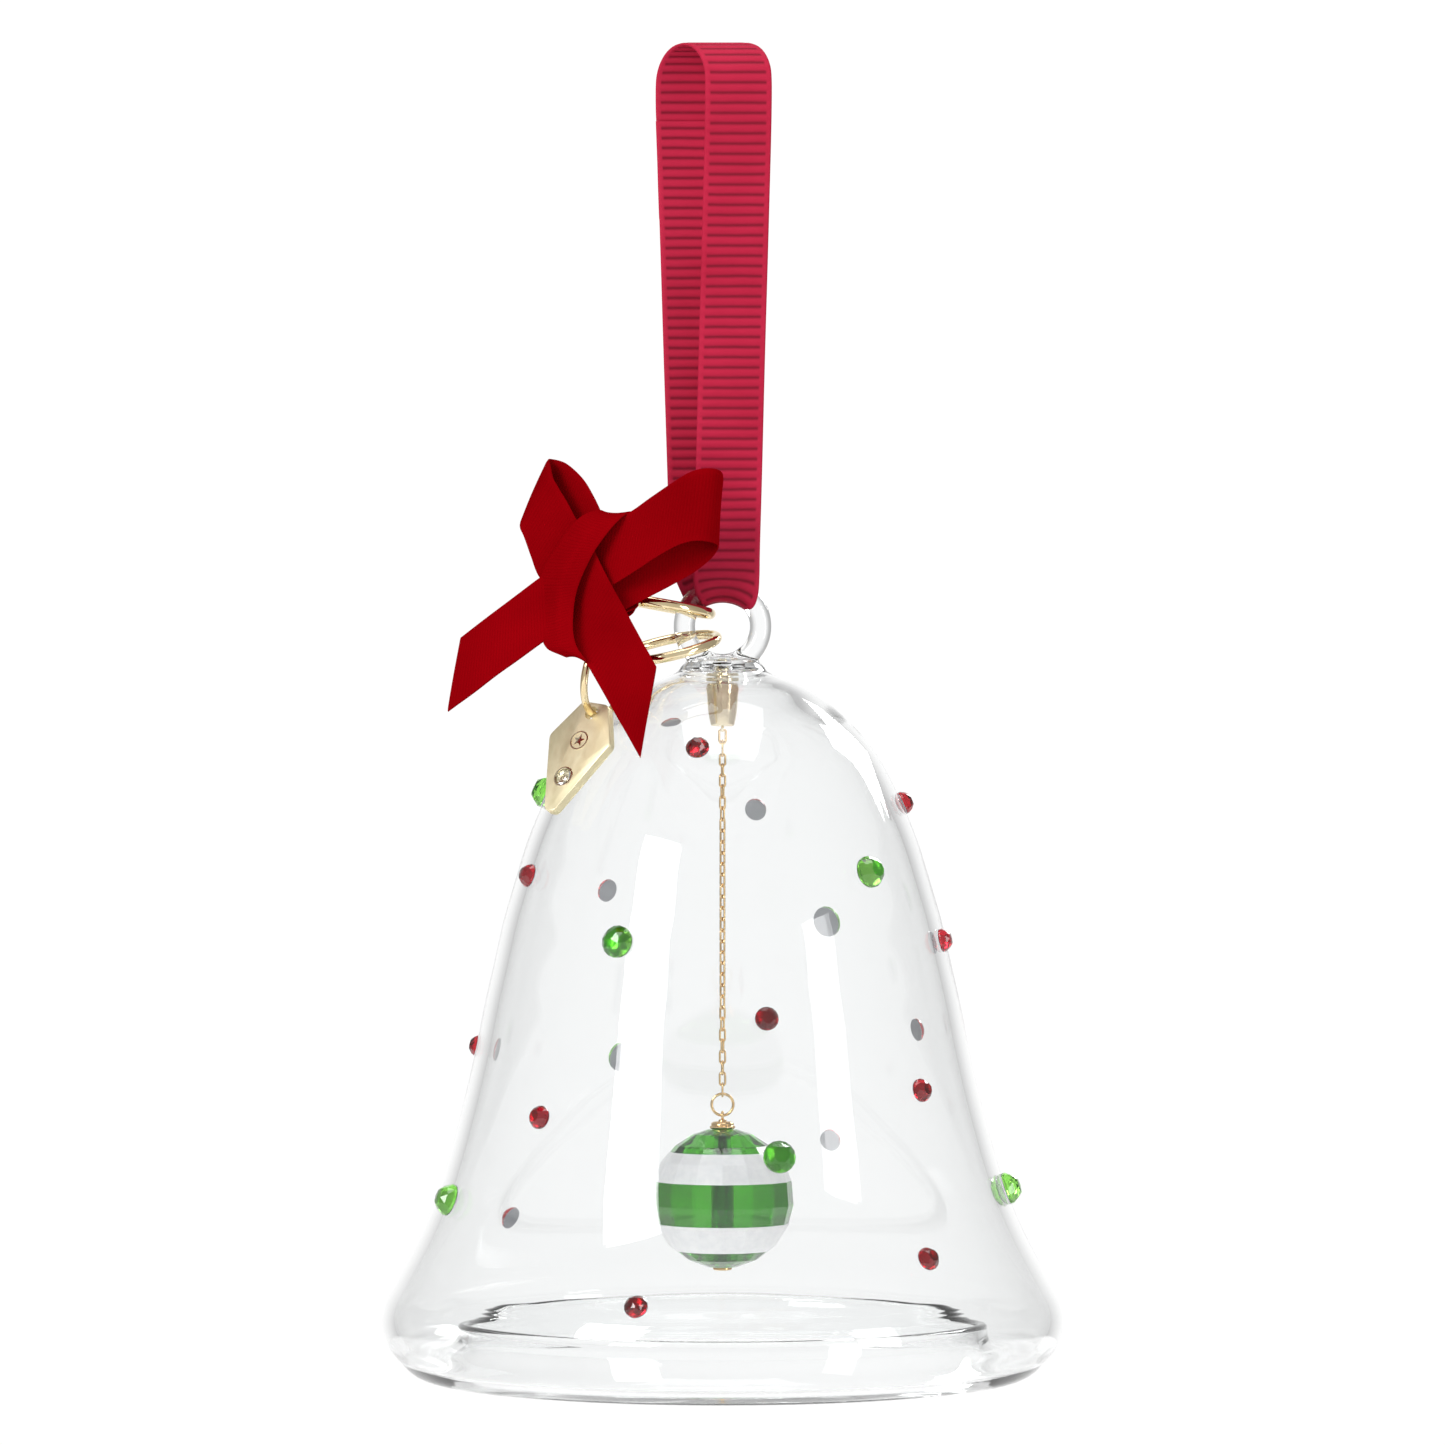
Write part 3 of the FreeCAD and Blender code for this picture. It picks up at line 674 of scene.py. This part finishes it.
cap_profile = [(0.54, ball_top + 0.03), (1.30, ball_top + 0.03), (1.46, ball_top + 0.10), (1.55, ball_top + 0.22), (1.55, ball_top + 0.36),
               (1.40, ball_top + 0.44), (1.36, ball_top + 0.50), (1.40, ball_top + 0.58), (1.36, ball_top + 0.74), (1.2, ball_top + 0.88),
               (0.95, ball_top + 0.96), (0.62, ball_top + 0.98), (0.54, ball_top + 0.94)]
piece("drop_cap_turned", *lathe(cap_profile, 56, closed=True), GOLD_CHAIN, "drop_hanger", "chain_gold", ("drop_cap",), angle=40)

LEVELS = [-8.42, -7.45, -5.75, -3.4, -0.75, 2.0, 4.5, 6.5, 7.85, 8.42]


def level_radius(level):
    return 1.75 if abs(level) > 8.4 else math.sqrt(BALL_R ** 2 - level ** 2)


verts, faces = [], []
for level in LEVELS:
    for i in range(16):
        a = 2 * math.pi * i / 16
        verts.append(P(level_radius(level) * math.cos(a), level_radius(level) * math.sin(a), BALL_Z + level))
for s in range(len(LEVELS) - 1):
    for i in range(16):
        j = (i + 1) % 16
        faces.append((s * 16 + i, s * 16 + j, (s + 1) * 16 + j, (s + 1) * 16 + i))
base = len(verts)
for level in (-8.42, 8.42):
    for i in range(16):
        a = 2 * math.pi * i / 16
        verts.append(P(0.8 * math.cos(a), 0.8 * math.sin(a), BALL_Z + level))
top = (len(LEVELS) - 1) * 16
for i in range(16):
    j = (i + 1) % 16
    faces.append((i, j, base + j, base + i))
    faces.append((top + i, top + j, base + 16 + j, base + 16 + i))
    faces.append((base + i, base + j, base + 16 + j, base + 16 + i))
ball = piece("drop_ball_cut", verts, faces, BALL_GREEN, "drop", "drop_crystal", ("crystal_ball",), flat=True)


def band(low, high):
    stops = [low] + [l for l in LEVELS if low < l < high] + [high]

    def radius(z):
        for a, b in zip(LEVELS, LEVELS[1:]):
            if a <= z <= b:
                return level_radius(a) + (level_radius(b) - level_radius(a)) * (z - a) / (b - a)
    v, f = [], []
    profile = [(radius(z) + 0.075, z) for z in stops] + [(radius(z) + 0.012, z) for z in stops[::-1]]
    profile[0] = (profile[0][0] - 0.02, profile[0][1])
    for r, z in profile:
        for i in range(16):
            a = 2 * math.pi * i / 16
            v.append(P(r * math.cos(a), r * math.sin(a), BALL_Z + z))
    n = len(profile)
    for s in range(n):
        for i in range(16):
            j = (i + 1) % 16
            f.append((s * 16 + i, s * 16 + j, ((s + 1) % n) * 16 + j, ((s + 1) % n) * 16 + i))
    return v, f


piece("enamel_bands", *join([band(-6.36, -3.05), band(2.2, 5.73)]), WHITE, "drop", "white_enamel", ("white_bands",), flat=True)

# ---------------------------------------------------------------- gold rings through the eye
bow_tilt = math.radians(10.4)
bow_centre = (-7.4, -1.0, 92.88)


def wire_ring(name, centre, normal, radius, wire, body, node, seam_deg, sides=28, count=144, start=None):
    """A closed ring of wire with the fine butt seam where its two ends meet."""
    def thick(i):
        d = abs((i * 360.0 / count - seam_deg + 180) % 360 - 180)
        return (wire - 0.045 * (1 - smooth(0.0, 2.6, d))) * MM
    path = ring_path(centre, normal, radius, count, start)
    return piece(name, *tube(path, wire * MM, sides, hint=Vector(normal), radius_at=thick), GOLD_RING, body, "ring_gold", (node,), angle=60)


wire_ring("bow_ring_wire", bow_centre, (math.sin(bow_tilt), 0, math.cos(bow_tilt)), 6.0, 0.70, "bow_loop_ring", "bow_ring", 180.0, start=(1, 0, 0))
carrier_tilt = math.radians(12.5)
cu = Vector((math.cos(carrier_tilt), 0, math.sin(carrier_tilt)))
cv = Vector((0, -0.983, -0.181))
wire_ring("tag_carrier_wire", (-6.57, -3.173, 87.615), cu.cross(cv), 6.05, 0.60, "tag_carrier", "tag_carrier_ring", 334.0, start=cu)
wire_ring("tag_ring_wire", (-13.749, -9.115, 84.772), (0.869, -0.446, -0.215), 5.434, 0.45, "tag_link", "tag_ring", 30.0, start=(0, 0, 1))

# ---------------------------------------------------------------- tag
tag_top = Vector((-15.13, -9.68, 81.047))
down = Vector((-0.377, -0.301, -0.876)).normalized()
side = Vector((0.777, -0.617, -0.122))
side = (side - down * side.dot(down)).normalized()
face = down.cross(side).normalized()
if face.y > 0:
    face = -face


def on_tag(across, along, out):
    p = tag_top + side * across + down * along + face * out
    return P(p.x, p.y, p.z)


def disc_tool(name, along, radius, low, high, count=48):
    v, f = [], []
    for out in (low, high):
        for i in range(count):
            q = 2 * math.pi * i / count
            v.append(on_tag(radius * math.cos(q), along + radius * math.sin(q), out))
    for i in range(count):
        j = (i + 1) % count
        f.append((i, j, count + j, count + i))
    f.append(tuple(range(count - 1, -1, -1)))
    f.append(tuple(range(count, 2 * count)))
    return plain(name, v, f)


def rounded(points, radius, count=5):
    result = []
    n = len(points)
    for i in range(n):
        p, a, b = Vector(points[i]), Vector(points[i - 1]), Vector(points[(i + 1) % n])
        da, db = (a - p).normalized(), (b - p).normalized()
        cut_back = min(radius, 0.4 * (a - p).length, 0.4 * (b - p).length)
        s, e = p + da * cut_back, p + db * cut_back
        for k in range(count + 1):
            t = k / count
            result.append((s * (1 - t) ** 2 + p * 2 * t * (1 - t) + e * t ** 2))
    return result


outline = rounded([(-1.9, 0), (1.9, 0), (4.7, 5.0), (0.7, 14.55), (-0.7, 14.55), (-4.7, 5.0)], 0.55)
n = len(outline)
v, f = [], []
middle = Vector((0, 6.4))
for inset, out in ((0.10, -1.2), (0.03, -1.17), (0.0, -1.10), (0.0, -0.10), (0.03, -0.03), (0.10, 0.0)):
    for p in outline:
        q = p - (p - middle).normalized() * inset
        v.append(on_tag(q.x, q.y, out))
for s in range(5):
    for i in range(n):
        j = (i + 1) % n
        f.append((s * n + i, s * n + j, (s + 1) * n + j, (s + 1) * n + i))
f.append(tuple(range(n - 1, -1, -1)))
f.append(tuple(range(5 * n, 6 * n)))
tag = plain("tag_body", v, f)
cut(tag, disc_tool("hole_tool", 1.35, 0.85, -3.0, 2.0))
cut(tag, disc_tool("seat_tool", 10.0, 1.07, -0.55, 2.0))
tag.data.shade_smooth()
tag.data.set_sharp_from_angle(angle=math.radians(28))
tag.data.materials.clear()
tag.data.materials.append(TAG_GOLD)
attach(tag, "tag")
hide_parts("tag_plate")

# raised badge: a ring with a five-pointed star in it
v, f = [], []
badge_rows = ((1.25, -0.01), (1.25, 0.05), (1.21, 0.08), (1.09, 0.08), (1.05, 0.05), (1.05, -0.01))
for r, out in badge_rows:
    for i in range(64):
        q = 2 * math.pi * i / 64
        v.append(on_tag(r * math.cos(q), 5.1 + r * math.sin(q), out))
for s in range(6):
    for i in range(64):
        j = (i + 1) % 64
        f.append((s * 64 + i, s * 64 + j, ((s + 1) % 6) * 64 + j, ((s + 1) % 6) * 64 + i))
sv, sf = [], []
for out, scale in ((-0.01, 1.0), (0.03, 1.0)):
    for i in range(10):
        r = (0.85 if i % 2 == 0 else 0.36) * scale
        a = math.radians(36.0 * i)
        sv.append(on_tag(r * math.sin(a), 5.1 - r * math.cos(a), out))
sv.append(on_tag(0, 5.1, 0.085))
for i in range(10):
    j = (i + 1) % 10
    sf.append((i, j, 10 + j, 10 + i))
    sf.append((10 + i, 10 + j, 20))
sf.append(tuple(range(9, -1, -1)))
piece("tag_badge", *join([(v, f), (sv, sf)]), GOLD_PALE, "tag", "tag_gold", (), angle=20)
# collar round the crystal
v, f = [], []
for r, out in ((1.07, -0.5), (1.07, 0.03), (1.12, 0.09), (1.26, 0.09), (1.32, 0.03), (1.32, -0.01), (1.2, -0.02)):
    for i in range(56):
        q = 2 * math.pi * i / 56
        v.append(on_tag(r * math.cos(q), 10.0 + r * math.sin(q), out))
for s in range(7):
    t = (s + 1) % 7
    for i in range(56):
        j = (i + 1) % 56
        f.append((s * 56 + i, s * 56 + j, t * 56 + j, t * 56 + i))
piece("tag_collar", v, f, GOLD_PALE, "tag", "tag_gold", (), angle=30)
v, f = [], []
for r, out, count, turn in ((1.0, -0.52, 16, 0), (1.04, -0.1, 16, 0), (0.86, 0.10, 16, 0), (0.55, 0.24, 8, 11.25)):
    for i in range(count):
        q = math.radians(360.0 * i / count + turn)
        v.append(on_tag(r * math.cos(q), 10.0 + r * math.sin(q), out))
for s in (0, 16):
    for i in range(16):
        j = (i + 1) % 16
        f.append((s + i, s + j, s + 16 + j, s + 16 + i))
for i in range(8):
    t, t_next = 48 + i, 48 + (i + 1) % 8
    a, b, c = 32 + 2 * i, 32 + (2 * i + 1) % 16, 32 + (2 * i + 2) % 16
    f += [(a, b, t), (b, c, t_next), (b, t_next, t)]
f.append(tuple(range(15, -1, -1)))
f.append(tuple(range(48, 56)))
piece("tag_crystal_cut", v, f, CLEAR_GEM, "tag", "tag_crystal", ("tag_stone",), flat=True)

# ---------------------------------------------------------------- bow: rows across the ribbon, from one end of each strip to the other
LEFT_LOOP = [
    ((-15.55, -9.64, 100.45), (-19.1, -10.5, 93.52)),
    ((-17.36, -8.53, 102.86), (-21.78, -8.5, 95.94)),
    ((-18.57, -7.7, 105.04), (-22.89, -7.25, 98.6)),
    ((-19.67, -6.99, 106.86), (-23.68, -6.56, 100.77)),
    ((-20.27, -6.59, 107.95), (-24.05, -6.27, 101.62)),
    ((-20.67, -5.3, 109.43), (-24.2, -5.04, 102.07)),
    ((-20.83, -3.83, 110.27), (-24.26, -3.43, 102.42)),
    ((-20.48, -3.11, 110.33), (-24.17, -2.4, 102.33)),
    ((-19.64, -3.1, 110.18), (-23.76, -2.13, 101.61)),
    ((-18.67, -3.74, 109.73), (-22.89, -2.92, 100.03)),
    ((-16.72, -5.2, 107.88), (-20.93, -4.57, 97.59)),
    ((-15.38, -6.35, 105.68), (-19.44, -6.34, 95.15)),
    ((-14.4, -7.27, 103.62), (-18.69, -7.65, 93.33)),
]
RIGHT_LOOP = [
    ((-15.54, -10.2, 101.62), (-15.52, -11.2, 93.51)),
    ((-13.26, -11.1, 102.78), (-14.32, -11.9, 94.21)),
    ((-11.11, -11.6, 103.65), (-13.0, -12.3, 95.03)),
    ((-8.62, -11.75, 105.38), (-10.27, -12.5, 96.75)),
    ((-6.36, -11.9, 106.92), (-7.66, -12.5, 98.47)),
    ((-3.98, -12.1, 108.38), (-5.28, -12.5, 99.77)),
    ((-2.67, -12.2, 108.81), (-3.74, -12.5, 100.22)),
    ((-1.72, -12.1, 108.91), (-2.67, -12.4, 100.3)),
    ((-0.89, -11.7, 108.85), (-1.72, -12.0, 100.19)),
    ((-0.24, -10.9, 108.56), (-0.95, -11.2, 99.99)),
    ((-0.01, -9.9, 108.06), (-0.58, -10.2, 99.72)),
    ((-0.18, -8.9, 107.56), (-0.66, -9.3, 99.26)),
    ((-0.9, -8.1, 106.82), (-1.37, -8.9, 98.26)),
    ((-2.69, -7.8, 105.87), (-3.16, -9.0, 96.77)),
    ((-5.67, -7.8, 104.68), (-6.02, -9.6, 95.08)),
    ((-8.9, -8.0, 103.24), (-9.11, -10.4, 93.46)),
    ((-12.0, -8.2, 101.68), (-11.95, -11.3, 91.96)),
    ((-14.38, -8.6, 100.47), (-14.56, -11.6, 90.65)),
]
RIGHT_TAIL = [
    ((-15.74, -11.9, 100.26), (-18.11, -12.3, 95.03)),
    ((-15.02, -12.4, 98.71), (-18.09, -13.0, 91.81)),
    ((-13.7, -13.0, 95.96), (-17.69, -15.2, 88.46)),
    ((-11.56, -13.3, 92.04), (-16.11, -17.3, 85.84)),
    ((-10.3, -14.6, 89.77), (-14.19, -18.9, 82.53)),
    ((-9.04, -16.4, 87.5), (-12.05, -20.3, 78.76)),
    ((-8.26, -17.5, 86.13), (-10.62, -21.3, 76.29)),
    ((-7.8, -18.0, 85.3), (-9.62, -21.7, 74.53)),
]
LEFT_TAIL = [
    ((-19.57, -10.71, 97.32), (-18.99, -15.18, 89.88)),
    ((-21.73, -10.35, 95.9), (-21.27, -15.77, 88.22)),
    ((-24.12, -10.03, 94.12), (-24.05, -16.14, 86.2)),
    ((-26.49, -10.27, 92.33), (-26.78, -15.73, 84.26)),
    ((-28.86, -10.63, 90.54), (-29.63, -15.36, 82.07)),
    ((-30.39, -10.97, 89.35), (-31.6, -15.07, 80.65)),
    ((-31.16, -11.21, 88.75), (-32.49, -14.94, 80.0)),
]
KNOT = [
    ((-10.55, -9.0, 103.21), (-11.56, -8.86, 103.18), (-12.35, -8.6, 103.16), (-13.42, -8.52, 103.13), (-14.15, -8.0, 103.12)),
    ((-10.71, -10.6, 103.68), (-11.78, -10.46, 103.73), (-12.62, -10.2, 103.77), (-13.77, -9.9, 103.83), (-14.55, -9.2, 103.88)),
    ((-11.58, -11.9, 103.35), (-12.65, -11.82, 103.46), (-13.49, -11.6, 103.54), (-14.64, -11.08, 103.67), (-15.42, -10.2, 103.76)),
    ((-12.76, -12.5, 102.27), (-13.79, -12.54, 102.55), (-14.6, -12.4, 102.77), (-15.73, -11.55, 103.1), (-16.49, -10.4, 103.34)),
    ((-13.83, -12.8, 100.99), (-14.84, -12.96, 101.39), (-15.63, -12.9, 101.71), (-16.74, -11.72, 102.18), (-17.5, -10.3, 102.51)),
    ((-15.13, -13.1, 99.16), (-16.3, -13.38, 99.32), (-17.23, -13.4, 99.45), (-18.52, -11.84, 99.67), (-19.41, -10.1, 99.84)),
    ((-16.13, -13.4, 97.26), (-17.5, -13.74, 97.18), (-18.58, -13.8, 97.13), (-20.1, -11.91, 97.1), (-21.14, -9.9, 97.1)),
    ((-16.95, -13.9, 95.35), (-18.22, -14.24, 95.34), (-19.22, -14.3, 95.34), (-20.64, -12.41, 95.38), (-21.61, -10.4, 95.43)),
    ((-17.44, -14.6, 93.56), (-18.58, -15.0, 93.32), (-19.48, -15.1, 93.14), (-20.76, -13.43, 92.92), (-21.63, -11.6, 92.78)),
    ((-17.66, -15.8, 91.41), (-18.7, -16.14, 91.11), (-19.52, -16.2, 90.87), (-20.67, -15.02, 90.57), (-21.46, -13.6, 90.38)),
    ((-17.65, -16.9, 89.38), (-18.63, -17.3, 89.11), (-19.41, -17.4, 88.91), (-20.5, -16.44, 88.63), (-21.24, -15.2, 88.46)),
    ((-17.15, -18.0, 87.48), (-18.11, -18.22, 87.46), (-18.86, -18.2, 87.45), (-19.9, -17.46, 87.44), (-20.61, -16.4, 87.44)),
    ((-16.15, -18.2, 86.15), (-16.99, -18.18, 86.32), (-17.65, -18.0, 86.46), (-18.56, -17.7, 86.65), (-19.18, -17.0, 86.79)),
    ((-16.11, -17.0, 85.96), (-16.77, -16.98, 86.11), (-17.3, -16.8, 86.23), (-18.01, -16.72, 86.39), (-18.49, -16.2, 86.5)),
]


def knot_ribs(s, t, edge):
    """Pleats where the tie is drawn tight, strongest in the middle of its width."""
    mask = smooth(0.02, 0.30, t) * (1 - smooth(0.55, 0.95, t))
    amount = 0.35 + 0.65 * noise.noise(Vector((s * 0.35, 3.1, 0.0)))
    return 0.055 * mask * max(amount, 0.0) * math.sin(2 * math.pi * s / 0.98 + 0.9 * math.sin(t * 5.0))


def fine_fold(s, t, edge):
    return 0.02 * noise.noise(Vector((s * 0.25, t * 2.2, 7.0)))


def bow_piece(name, rows, steps, ribs, node, belly=0.0, thick=0.34):
    v, f, att = ribbon(rows, thick, steps, 22, ribs, belly)
    return piece(name, v, f, BOW_RED, "bow", "bow_ribbon", (node,) if node else (), angle=50, attributes=att)


bow_piece("bow_left_loop_ribbon", LEFT_LOOP, 7, fine_fold, "bow_left_loop", 0.12)
bow_piece("bow_right_loop_ribbon", RIGHT_LOOP, 7, fine_fold, "bow_right_loop", 0.10)
bow_piece("bow_left_tail_ribbon", LEFT_TAIL, 9, fine_fold, "bow_left_tail", 0.10)
bow_piece("bow_right_tail_ribbon", RIGHT_TAIL, 9, fine_fold, "bow_right_tail", 0.10)
bow_piece("bow_knot_wrap", KNOT, 12, knot_ribs, "bow_knot", 0.35, 0.40)

# the tie goes on round the bow's ring behind the knot
tangent = Vector((0.6955, -0.7071, -0.1276))
back_line = [(-13.3, -8.6, 103.2), (-12.9, -6.9, 101.0), (-12.3, -5.0, 98.0), (-11.9, -4.0, 95.6), (-11.75, -3.75, 94.0),
             (-12.0, -4.1, 92.4), (-13.4, -6.2, 91.2), (-15.8, -9.8, 89.6), (-17.6, -13.2, 88.0)]
rows = []
for i, p in enumerate(back_line):
    half_w = 2.1 if 1 < i < 7 else 2.5
    c = Vector(p)
    rows.append((tuple(c - tangent * half_w), tuple(c), tuple(c + tangent * half_w)))
v, f, att = ribbon(rows, 0.34, 8, 12, fine_fold, 0.1)
piece("bow_tie_back", v, f, BOW_RED, "bow", "bow_ribbon", (), angle=50, attributes=att)
front_line = [(-13.6, -9.4, 97.0), (-12.4, -7.3, 95.4), (-11.55, -6.55, 94.2), (-11.45, -6.6, 92.9), (-12.6, -8.0, 92.2), (-15.0, -11.0, 91.6)]
rows = []
for i, p in enumerate(front_line):
    c = Vector(p)
    rows.append((tuple(c - tangent * 1.9), tuple(c), tuple(c + tangent * 1.9)))
v, f, att = ribbon(rows, 0.34, 8, 12, fine_fold, 0.1)
piece("bow_tie_front", v, f, BOW_RED, "bow", "bow_ribbon", (), angle=50, attributes=att)

# ---------------------------------------------------------------- hanging ribbon
def arc_row(cx, half_w, y, z, follow, count=9):
    """A row across the ribbon that sinks at its sides as the eye's bar does."""
    row = []
    for k in range(count):
        x = cx + half_w * (2 * k / (count - 1) - 1)
        drop = 4.6 - math.sqrt(max(4.6 ** 2 - min(abs(x), 4.3) ** 2, 0.0))
        row.append((x, y, z - drop * follow))
    return row


rows = []
for x, y, z in ((-4.1, 4.5, 151.6), (-3.6, 3.7, 138.0), (-3.1, 2.6, 122.0), (-2.65, 1.95, 108.0), (-2.4, 1.8, 99.0)):
    rows.append(arc_row(x, 4.0, y, z, 0.0))
for cx, hw, y, z, follow in ((-2.1, 3.9, 1.85, 97.2, 0.1), (-1.5, 3.6, 1.85, 95.8, 0.4), (-0.9, 3.2, 1.70, 94.8, 0.8),
                             (-0.4, 2.9, 1.42, 94.1, 1.0), (0.0, 2.6, 0.80, 93.55, 1.0), (0.25, 2.5, 0.0, 93.32, 1.0),
                             (0.35, 2.7, -0.80, 93.55, 1.0), (0.45, 3.1, -1.42, 94.1, 1.0), (0.45, 3.5, -1.70, 94.75, 0.8),
                             (0.45, 3.85, -1.85, 95.5, 0.45), (0.45, 4.0, -1.85, 96.6, 0.15)):
    rows.append(arc_row(cx, hw, y, z, follow))
for x, y, z in ((0.5, -1.8, 99.0), (0.75, -1.95, 108.0), (1.1, -2.6, 122.0), (1.55, -3.7, 138.0), (1.9, -4.5, 152.0)):
    rows.append(arc_row(x, 4.0, y, z, 0.0))
fold_z = 160.5 - 4.5
for i in range(0, 13):
    a = math.pi * i / 12
    rows.append(arc_row(1.9 - 6.0 * (1 - math.cos(a)) / 2, 4.0, -4.5 * math.cos(a) + 0.12 * i / 12, fold_z + 4.5 * math.sin(a), 0.0))
# the other end laps over the first one, outside it
for x, y, z in ((-4.1, 4.88, 153.0), (-4.02, 4.88, 151.0), (-3.9, 4.62, 146.0), (-3.72, 4.29, 140.5), (-3.68, 4.24, 139.7)):
    rows.append(arc_row(x, 4.0, y, z, 0.0))


def even(rows, spacing):
    """The same rows, taken again at an even spacing along the strip."""
    width = len(rows[0])
    lines = [catmull([r[k] for r in rows], 24) for k in range(width)]
    n = len(lines[0])
    dist = [0.0]
    for i in range(1, n):
        dist.append(dist[-1] + sum((lines[k][i] - lines[k][i - 1]).length for k in range(width)) / width)
    count = int(dist[-1] / spacing)
    result, i = [], 0
    for s in range(count + 1):
        want = dist[-1] * s / count
        while i < n - 2 and dist[i + 1] < want:
            i += 1
        t = (want - dist[i]) / max(dist[i + 1] - dist[i], 1e-9)
        result.append([tuple(lines[k][i] * (1 - t) + lines[k][i + 1] * t) for k in range(width)])
    return result


PITCH = 1.22


def grosgrain(s, t, edge):
    """Cross ribs between two plain woven edges."""
    rib = 0.5 + 0.5 * math.sin(2 * math.pi * s / PITCH)
    rib = rib ** 0.6
    return 0.085 * (rib - 0.6) * smooth(0.40, 0.70, edge)


fine_rows = even(rows, PITCH / 8)
v, f, att = ribbon([[Vector(p) for p in r] for r in fine_rows], 0.34, 1, 32, grosgrain)
hanging = piece("hanging_ribbon_woven", v, f, HANG_RED, "ribbon", "hanging_ribbon", ("hanging_ribbon", "ribbon_lap"), angle=80, attributes=att)
# two rows of small stitches hold the lap
stitches = []
for z in (141.2, 150.4):
    for k in range(7):
        x = -4.0 + (-2.9 + k * 0.97)
        y0 = 3.86 + 0.44 + 0.17 + (z - 140.5) * 0.062
        pts = [P(x - 0.28, y0 - 0.02, z), P(x - 0.16, y0 + 0.09, z), P(x, y0 + 0.12, z), P(x + 0.16, y0 + 0.09, z), P(x + 0.28, y0 - 0.02, z)]
        stitches.append(tube(pts, 0.07 * MM, 8, closed=False))
piece("lap_stitches", *join(stitches), HANG_RED, "ribbon", "hanging_ribbon", (), angle=60,
      attributes=None)

# ---------------------------------------------------------------- floor, light, camera
def stage_material():
    m, nt, s = node_material("studio_floor")
    s.inputs["Roughness"].default_value = 0.9
    s.inputs["Specular IOR Level"].default_value = 0.1
    n = noise_node(nt, 0.6, 1.0)
    r = ramp(nt, n.outputs["Fac"], [(0.3, (0.93, 0.93, 0.93)), (0.7, (0.95, 0.95, 0.95))])
    nt.links.new(r.outputs["Color"], s.inputs["Base Color"])
    return m


disc_v, disc_f = lathe([(0.0, -70), (380, -70), (412, -70.4), (419, -72), (420, -75), (0.0, -75)], 160)
floor = plain("studio_floor", disc_v, disc_f)
floor.data.materials.append(stage_material())

world = bpy.data.worlds.new("studio") if not scene.world else scene.world
scene.world = world
world.use_nodes = True
wt = world.node_tree
wt.nodes.clear()
out = wt.nodes.new("ShaderNodeOutputWorld")
background = wt.nodes.new("ShaderNodeBackground")
coord = wt.nodes.new("ShaderNodeTexCoord")
split = wt.nodes.new("ShaderNodeSeparateXYZ")
wt.links.new(coord.outputs["Generated"], split.inputs["Vector"])
# a bright panel behind the object, dim sides that draw the glass's edges, and a softer front
turned = wt.nodes.new("ShaderNodeMath")
turned.operation = "MULTIPLY_ADD"
turned.inputs[1].default_value = 0.5
turned.inputs[2].default_value = 0.5
wt.links.new(split.outputs["Y"], turned.inputs[0])
fade = ramp(wt, turned.outputs[0], [(0.0, (0.62,) * 3), (0.22, (0.56,) * 3), (0.48, (0.40,) * 3), (0.76, (0.38,) * 3),
                                    (0.90, (0.52,) * 3), (0.985, (1.0,) * 3)])
strength = wt.nodes.new("ShaderNodeMath")
strength.operation = "MULTIPLY"
strength.inputs[1].default_value = 1.03
wt.links.new(fade.outputs["Color"], strength.inputs[0])
wt.links.new(strength.outputs[0], background.inputs["Strength"])
background.inputs["Color"].default_value = (1.0, 1.0, 1.0, 1.0)
wt.links.new(background.outputs["Background"], out.inputs["Surface"])


def area(name, at, look, size, size_y, power, color=(1, 1, 1)):
    light = bpy.data.lights.new(name, "AREA")
    light.shape = "RECTANGLE"
    light.size, light.size_y = size * MM, size_y * MM
    light.energy = power
    light.color = color
    ob = bpy.data.objects.new(name, light)
    scene.collection.objects.link(ob)
    ob.location = P(*at)
    ob.rotation_euler = (P(*look) - P(*at)).to_track_quat("-Z", "Y").to_euler()
    return ob


area("key", (-520, -620, 420), (0, 0, 60), 320, 420, 4.7)
area("fill", (640, -480, 160), (0, 0, 50), 200, 520, 1.6)
area("rim_light", (420, 520, 420), (0, 0, 60), 260, 260, 2.0)
area("top_light", (0, -60, 700), (0, 0, 60), 420, 420, 1.5)

camera = bpy.data.cameras.new("camera")
camera.lens = 6633.0 / 1445 * 36
camera.sensor_width = 36
camera.clip_end = 30
camera.clip_start = 0.01
cam = bpy.data.objects.new("camera", camera)
scene.collection.objects.link(cam)
cam.location = P(0, -800, 78.7)
cam.rotation_euler = (math.pi / 2, 0, 0)
scene.camera = cam

scene.view_settings.view_transform = "Standard"
scene.view_settings.look = "None"
scene.cycles.max_bounces = 28
scene.cycles.transmission_bounces = 24
scene.cycles.glossy_bounces = 12
scene.cycles.transparent_max_bounces = 24
scene.cycles.diffuse_bounces = 4
